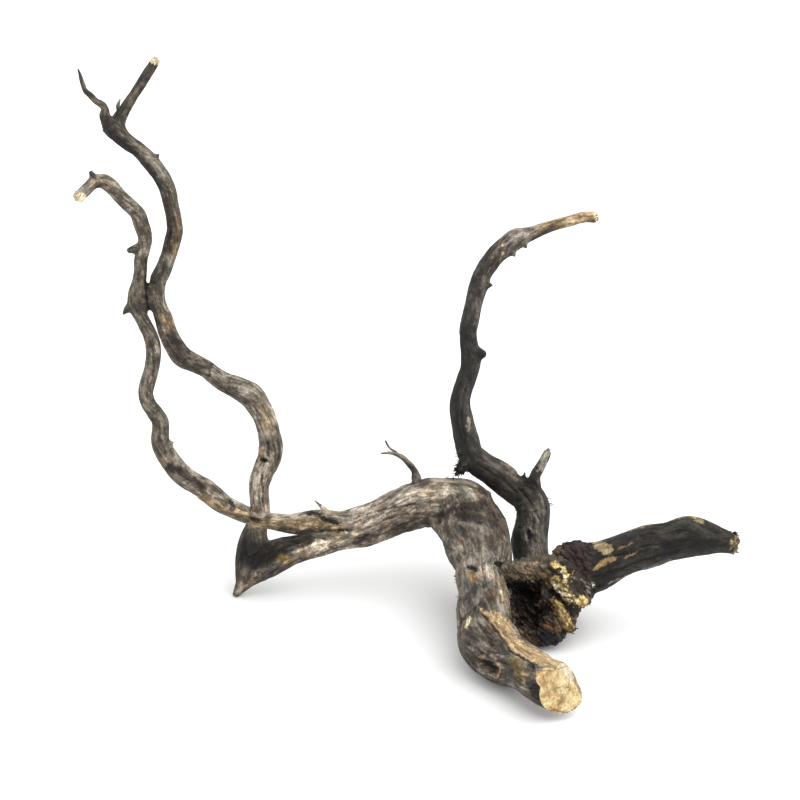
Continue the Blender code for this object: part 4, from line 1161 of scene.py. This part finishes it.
def paint(data, survey):
    """Named arrays of grain coordinates, colour and masks for the surface, and its normals."""
    points, normals, edges = mesh_arrays(data)
    hollow_shade, edge_wear_and_highlight = curvature(points, normals, edges)
    colour, rot, calm = tint(survey, normals, hollow_shade, edge_wear_and_highlight)
    table = {"grain_" + letter: survey.straight[group][0] * MM for group, letter in enumerate("abc")}
    table["grain_weights"] = survey.weight
    table["tint"] = np.column_stack((colour, np.ones(len(colour))))
    table["rot"] = rot[:, None]
    table["calm"] = calm[:, None]
    return table, normals


# Kind and field of a mesh attribute, by the numbers that each point has
ATTRIBUTE_KINDS = {1: ("FLOAT", "value"), 3: ("FLOAT_VECTOR", "vector"), 4: ("FLOAT_COLOR", "color")}


def set_attributes(data, table):
    for name, values in table.items():
        kind, field = ATTRIBUTE_KINDS[values.shape[1]]
        attribute = data.attributes.new(name, kind, "POINT")
        attribute.data.foreach_set(field, np.ascontiguousarray(values, dtype=np.float32).ravel())


def piece_of(survey):
    """Which piece each point belongs to, by its number in PIECE_NAMES."""
    across, up, near = survey.sight.T
    trunk = survey.named(*PLACES["trunk"])
    piece = np.zeros(len(across), dtype=np.int32)
    piece[(up < 260.0) & (across < -75.0)] = 1
    piece[trunk & (up > 143.0)] = 1
    piece[trunk & (near > 26.0)] = 4
    left = survey.named(*PLACES["back"]) & (up > 166.0)
    left |= survey.named(*PLACES["front"]) & (across < -197.0)
    left |= up > 215.0
    piece[left & (across < -140.0)] = 2
    side = survey.named(*PLACES["right"]) & (up > 140.0)
    side |= up > 230.0
    side |= across > 112.0
    piece[side & (across > -60.0)] = 3
    return piece


def split_pieces(wood, survey, table, normals):
    """Share the surface out to pieces, each closed by a cap hidden inside the wood."""
    data = wood.data
    corners = np.empty(len(data.loops), dtype=np.int32)
    data.loops.foreach_get("vertex_index", corners)
    triangles = corners.reshape(-1, 3)
    count = len(survey.points)
    owner = piece_of(survey)[triangles].max(axis=1)
    directed = np.vstack([triangles[:, pair] for pair in ((0, 1), (1, 2), (2, 0))]).astype(np.int64)
    face = np.tile(np.arange(len(triangles)), 3)
    key = directed.min(axis=1) * count + directed.max(axis=1)
    order = np.argsort(key, kind="stable")
    first, second = order[0::2], order[1::2]
    for _ in range(12):
        border = owner[face[first]] != owner[face[second]]
        ends = directed[first[border]].ravel()
        crowded = np.flatnonzero(np.bincount(ends, minlength=count) > 2)
        if not len(crowded):
            break
        touched = np.isin(triangles, crowded).any(axis=1)
        owner[touched] = owner[touched].max()
    made = []
    for number, name in enumerate(PIECE_NAMES):
        faces = triangles[owner == number]
        sides = []
        for here, there in ((first, second), (second, first)):
            out = (owner[face[here]] == number) & (owner[face[there]] != number)
            sides.append(directed[here[out]])
        sides = np.vstack(sides)
        follow = dict(sides.tolist())
        caps = []
        centres = []
        while follow:
            start, step = next(iter(follow.items()))
            loop = [start]
            while step != start:
                loop.append(step)
                step = follow[step]
            for corner in loop:
                del follow[corner]
            middle = count + len(centres)
            centres.append((survey.points[loop].mean(axis=0), loop[0]))
            caps.extend((loop[(i + 1) % len(loop)], loop[i], middle) for i in range(len(loop)))
        points = np.vstack([survey.points] + [centre[None] for centre, _ in centres])
        source = np.concatenate((np.arange(count), [corner for _, corner in centres])).astype(np.int64)
        faces = np.vstack((faces, np.array(caps, dtype=np.int64).reshape(-1, 3)))
        used, local = np.unique(faces, return_inverse=True)
        piece = mesh_object(name, points[used], local.reshape(-1, 3).tolist())
        chosen = source[used]
        set_attributes(piece.data, {key: values[chosen] for key, values in table.items()})
        piece.data.shade_smooth()
        turned = np.where((used < count)[:, None], normals[chosen], 0.0)
        piece.data.normals_split_custom_set_from_vertices(turned.tolist())
        made.append(piece)
    bpy.data.objects.remove(wood, do_unlink=True)
    return made


# Layers of the grain: name, scale around (twice) and along, detail, roughness and distortion
GRAIN_LAYERS = (
    ("Streak", (280.0, 280.0, 24.0), 4.0, 0.65, 1.0),
    ("Fibre", (900.0, 900.0, 40.0), 3.0, 0.6, 0.5),
    ("Crack", (330.0, 330.0, 20.0), 2.0, 0.5, 1.4),
    ("Mottle", (300.0, 300.0, 130.0), 8.0, 0.78, 0.8),
)

# What grain, crumbs and flecks multiply the colour by, and the colours of cracks and dark flecks
PALE_GRAIN = (1.95, 1.92, 1.86, 1.0)
DARK_GRAIN = (0.28, 0.26, 0.24, 1.0)
PALE_CRUMB = (1.65, 1.58, 1.46, 1.0)
DARK_CRUMB = (0.36, 0.32, 0.29, 1.0)
PALE_FLECK = (2.4, 2.35, 2.25, 1.0)
CRACK_COLOUR = (0.012, 0.009, 0.007, 1.0)
DARK_FLECK_COLOUR = (0.02, 0.016, 0.012, 1.0)

# Lights: name, where they come from, angular size in degrees and strength
LIGHTS = (
    ("key", (0.60, -0.25, 1.0), 75.0, 2.05),
    ("fill", (-0.5, -0.9, 0.8), 70.0, 0.25),
)


def add(tree, kind, **settings):
    node = tree.nodes.new(kind)
    for key, value in settings.items():
        setattr(node, key, value)
    return node


def feed(tree, socket, value):
    if isinstance(value, (tuple, float)):
        socket.default_value = value
    else:
        tree.links.new(value, socket)


def speckle(tree, place, scale, detail, roughness, distortion=0.0):
    noise = add(tree, "ShaderNodeTexNoise")
    noise.inputs["Scale"].default_value = scale
    noise.inputs["Detail"].default_value = detail
    noise.inputs["Roughness"].default_value = roughness
    noise.inputs["Distortion"].default_value = distortion
    feed(tree, noise.inputs["Vector"], place)
    return noise.outputs["Fac"]


def grain_group():
    """Node group: straightened position in, streaks, fibres, cracks and mottling out."""
    group = bpy.data.node_groups.new("wood_grain", "ShaderNodeTree")
    group.interface.new_socket("Position", in_out="INPUT", socket_type="NodeSocketVector")
    for name, *_ in GRAIN_LAYERS:
        group.interface.new_socket(name, in_out="OUTPUT", socket_type="NodeSocketFloat")
    entry = add(group, "NodeGroupInput")
    leave = add(group, "NodeGroupOutput")
    for name, scale, detail, roughness, distortion in GRAIN_LAYERS:
        stretch = add(group, "ShaderNodeVectorMath", operation="MULTIPLY")
        stretch.inputs[1].default_value = scale
        feed(group, stretch.inputs[0], entry.outputs["Position"])
        layer = speckle(group, stretch.outputs[0], 1.0, detail, roughness, distortion)
        feed(group, leave.inputs[name], layer)
    return group


def mix_colour(tree, factor, first, second, blend_type="MIX"):
    node = add(tree, "ShaderNodeMix", data_type="RGBA", blend_type=blend_type)
    feed(tree, node.inputs[0], factor)
    feed(tree, node.inputs[6], first)
    feed(tree, node.inputs[7], second)
    return node.outputs[2]


def calculate(tree, operation, first, second=None):
    node = add(tree, "ShaderNodeMath", operation=operation)
    feed(tree, node.inputs[0], first)
    if second is not None:
        feed(tree, node.inputs[1], second)
    return node.outputs[0]


def remap(tree, value, low, high, to_low=0.0, to_high=1.0):
    node = add(tree, "ShaderNodeMapRange", interpolation_type="SMOOTHSTEP")
    feed(tree, node.inputs["Value"], value)
    node.inputs["From Min"].default_value = low
    node.inputs["From Max"].default_value = high
    node.inputs["To Min"].default_value = to_low
    node.inputs["To Max"].default_value = to_high
    return node.outputs["Result"]


def stored(tree, name, output="Fac"):
    node = add(tree, "ShaderNodeAttribute", attribute_type="GEOMETRY", attribute_name=name)
    return node.outputs[output]


def wood_material():
    material = bpy.data.materials.new("driftwood_wood")
    material.use_nodes = True
    tree = material.node_tree
    shader = tree.nodes["Principled BSDF"]
    times = partial(calculate, tree, "MULTIPLY")
    plus = partial(calculate, tree, "ADD")
    minus = partial(calculate, tree, "SUBTRACT")
    grain = grain_group()
    weights = add(tree, "ShaderNodeSeparateXYZ")
    feed(tree, weights.inputs[0], stored(tree, "grain_weights", "Vector"))
    sums = dict.fromkeys(name for name, *_ in GRAIN_LAYERS)
    for index, letter in enumerate("abc"):
        node = add(tree, "ShaderNodeGroup", node_tree=grain)
        feed(tree, node.inputs["Position"], stored(tree, "grain_" + letter, "Vector"))
        for name in sums:
            part = times(node.outputs[name], weights.outputs[index])
            sums[name] = part if sums[name] is None else plus(sums[name], part)
    place = add(tree, "ShaderNodeTexCoord").outputs["Object"]
    rot = stored(tree, "rot")
    grained = minus(1.0, stored(tree, "calm"))
    blotch = speckle(tree, place, 60.0, 5.0, 0.6)
    crumb = speckle(tree, place, 420.0, 6.0, 0.72)
    flecks = speckle(tree, place, 620.0, 2.0, 0.5)

    # Streaks and mottling lighten and darken the colour
    wide = remap(tree, sums["Streak"], 0.34, 0.68)
    fine = remap(tree, sums["Fibre"], 0.36, 0.64)
    mottle = remap(tree, sums["Mottle"], 0.36, 0.62)
    crack = calculate(tree, "ABSOLUTE", minus(sums["Crack"], 0.5))
    crack = remap(tree, crack, 0.0, 0.030)
    colour = stored(tree, "tint", "Color")
    pale = mix_colour(tree, 1.0, colour, PALE_GRAIN, "MULTIPLY")
    deep = mix_colour(tree, 1.0, colour, DARK_GRAIN, "MULTIPLY")
    level = plus(times(wide, 0.36), times(fine, 0.30))
    level = plus(level, times(mottle, 0.34))
    streaked = mix_colour(tree, level, deep, pale)
    colour = mix_colour(tree, times(grained, 0.9), colour, streaked)

    # Hair cracks, in patches
    lines = minus(1.0, crack)
    lines = times(lines, remap(tree, blotch, 0.42, 0.58))
    lines = times(lines, grained)
    colour = mix_colour(tree, times(lines, 0.75), colour, CRACK_COLOUR)

    # Where there is no grain: fine blotches, and crumbs where the wood is rotten
    light = mix_colour(tree, 1.0, colour, PALE_CRUMB, "MULTIPLY")
    shade = mix_colour(tree, 1.0, colour, DARK_CRUMB, "MULTIPLY")
    crumbs = mix_colour(tree, remap(tree, crumb, 0.34, 0.66), shade, light)
    plain = times(stored(tree, "calm"), 0.28)
    colour = mix_colour(tree, calculate(tree, "MAXIMUM", times(rot, 0.7), plain), colour, crumbs)

    # Pale and dark flecks
    bright = mix_colour(tree, 1.0, colour, PALE_FLECK, "MULTIPLY")
    colour = mix_colour(tree, remap(tree, flecks, 0.62, 0.70, 0.0, 0.7), colour, bright)
    colour = mix_colour(tree, remap(tree, flecks, 0.37, 0.29, 0.0, 0.7), colour, DARK_FLECK_COLOUR)
    feed(tree, shader.inputs["Base Color"], colour)
    feed(tree, shader.inputs["Roughness"], remap(tree, wide, 0.0, 1.0, 0.58, 0.84))
    shader.inputs["Specular IOR Level"].default_value = 0.35

    bump = add(tree, "ShaderNodeBump")
    bump.inputs["Strength"].default_value = 0.8
    bump.inputs["Distance"].default_value = 0.0011
    ridges = plus(times(fine, 0.35), times(wide, 0.25))
    ridges = plus(ridges, times(mottle, 0.40))
    ridges = times(ridges, grained)
    ridges = minus(ridges, times(lines, 0.8))
    grains = times(crumb, plus(times(rot, 1.2), plain))
    feed(tree, bump.inputs["Height"], plus(ridges, grains))
    feed(tree, shader.inputs["Normal"], bump.outputs["Normal"])
    return material


def plain_material(name, colour, roughness):
    material = bpy.data.materials.new(name)
    material.use_nodes = True
    shader = material.node_tree.nodes["Principled BSDF"]
    shader.inputs["Base Color"].default_value = colour
    shader.inputs["Roughness"].default_value = roughness
    shader.inputs["Specular IOR Level"].default_value = 0.0
    return material


def twig_object(limbs):
    """The thin twigs, lofted by themselves with their roots sunk in the wood."""
    twigs = tube_mesh("thin_twigs", limbs, 1.0, 16)
    twigs.modifiers.new("triangles", "TRIANGULATE")
    data = bake(twigs)
    points, normals, _ = mesh_arrays(data)
    survey = Survey(points, limbs)
    bark = Noise(71)
    height = survey.along_grain(
        lambda flat, radius: bark.layered(flat / (1.8, 1.8, 8.0), 2) * 0.18 * radius)
    points = points + normals * height[:, None]
    move_to(data, points)
    survey.points = points
    survey.sight = to_sight(points)
    table, _ = paint(data, survey)
    set_attributes(data, table)
    data.shade_smooth()
    return twigs


def cone(base, tip, radius, sides=5):
    """A closed splinter from base to tip, millimetres."""
    axis = tip - base
    axis = axis / np.linalg.norm(axis)
    side = np.cross(axis, (0.3, 0.5, 0.81))
    side /= np.linalg.norm(side)
    other = np.cross(axis, side)
    angles = np.linspace(0.0, 2.0 * math.pi, sides, endpoint=False)
    circle = np.cos(angles)[:, None] * side + np.sin(angles)[:, None] * other
    ring = base + radius * circle
    middle = base + 0.55 * (tip - base) + radius * 0.8 * side
    waist = middle + 0.6 * radius * circle
    verts = np.vstack((ring, waist, base - axis * radius * 0.3, tip))
    faces = []
    for i in range(sides):
        j = (i + 1) % sides
        faces.append((i, j, sides + j, sides + i))
        faces.append((j, i, 2 * sides))
        faces.append((sides + i, sides + j, 2 * sides + 1))
    return verts, faces


def splinter_object(points, normals):
    """Splinters and frayed tufts, each rooted in the nearest wood."""
    generator = np.random.default_rng(5)
    verts = []
    faces = []
    tints = []
    start = 0
    for centre, spread, lean, count, length, radius, colour in TUFTS:
        middle = to_world(centre)
        close = np.flatnonzero(np.linalg.norm(points - middle, axis=1) < TUFT_REACH)
        for _ in range(count):
            spot = to_world(np.array(centre) + generator.normal(size=3) * spread)
            root = close[np.linalg.norm(points[close] - spot, axis=1).argmin()]
            way = direction(*(np.array(lean) + generator.normal(size=3) * 0.45)) + 0.45 * normals[root]
            way /= np.linalg.norm(way)
            base = points[root] - 0.8 * normals[root]
            tip = base + way * (length * generator.uniform(0.45, 1.15) + 0.8)
            one, sides = cone(base, tip, radius * generator.uniform(0.6, 1.2))
            verts.append(one)
            faces.extend(tuple(index + start for index in face) for face in sides)
            tints.append(np.tile(COLOURS[colour] * generator.uniform(0.55, 1.25), (len(one), 1)))
            start += len(one)
    item = mesh_object("splinters", np.vstack(verts), faces)
    colour = np.vstack(tints)
    set_attributes(item.data, {"tint": np.column_stack((colour, np.ones(len(colour))))})
    return item


def studio():
    """Pale floor, soft lights and the camera, in metres."""
    reach = 30.0
    data = bpy.data.meshes.new("floor")
    corners = [(x * reach, y * reach, 0.0) for x, y in ((-1, -1), (1, -1), (1, 1), (-1, 1))]
    data.from_pydata(corners, [], [(0, 1, 2, 3)])
    floor = new_object("floor", data)
    data.materials.append(plain_material("floor_paper", (0.93, 0.93, 0.93, 1.0), 1.0))

    for name, place, angle, power in LIGHTS:
        lamp = bpy.data.lights.new(name, "SUN")
        lamp.angle = math.radians(angle)
        lamp.energy = power
        item = new_object(name, lamp)
        item.rotation_euler = Vector(place).to_track_quat("Z", "Y").to_euler()

    world = bpy.data.worlds.new("studio")
    world.use_nodes = True
    tree = world.node_tree
    background = tree.nodes["Background"]
    background.inputs["Color"].default_value = (1.0, 1.0, 1.0, 1.0)
    background.inputs["Strength"].default_value = 0.95
    bright = add(tree, "ShaderNodeBackground")
    bright.inputs["Strength"].default_value = 1.1
    seen = add(tree, "ShaderNodeLightPath").outputs["Is Camera Ray"]
    either = add(tree, "ShaderNodeMixShader")
    feed(tree, either.inputs[0], seen)
    feed(tree, either.inputs[1], background.outputs[0])
    feed(tree, either.inputs[2], bright.outputs[0])
    feed(tree, tree.nodes["World Output"].inputs["Surface"], either.outputs[0])
    bpy.context.scene.world = world

    camera_data = bpy.data.cameras.new("camera")
    camera_data.sensor_width = 36.0
    camera_data.lens = 90.0
    camera = new_object("camera", camera_data)
    camera.location = Vector(EYE) * MM
    camera.rotation_euler = (math.pi / 2.0 - SIGHT_TILT, 0.0, 0.0)
    bpy.context.scene.camera = camera
    bpy.context.scene.view_settings.view_transform = "Standard"


def main():
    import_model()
    studio()
    limbs = [Limb(name, *row) for name, row in LIMBS.items()] + [Limb("back_foot", 0, BACK_FOOT)]
    wood, survey = build_surface([limb for limb in limbs if limb.name not in THIN])
    table, normals = paint(wood.data, survey)
    pieces = split_pieces(wood, survey, table, normals)
    pieces.append(twig_object([limb for limb in limbs if limb.name in THIN]))
    pieces.append(splinter_object(survey.points, normals))
    material = wood_material()
    for piece in pieces:
        piece.data.materials.append(material)
        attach(piece, "root")
    for piece in pieces:
        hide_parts("driftwood")


main()
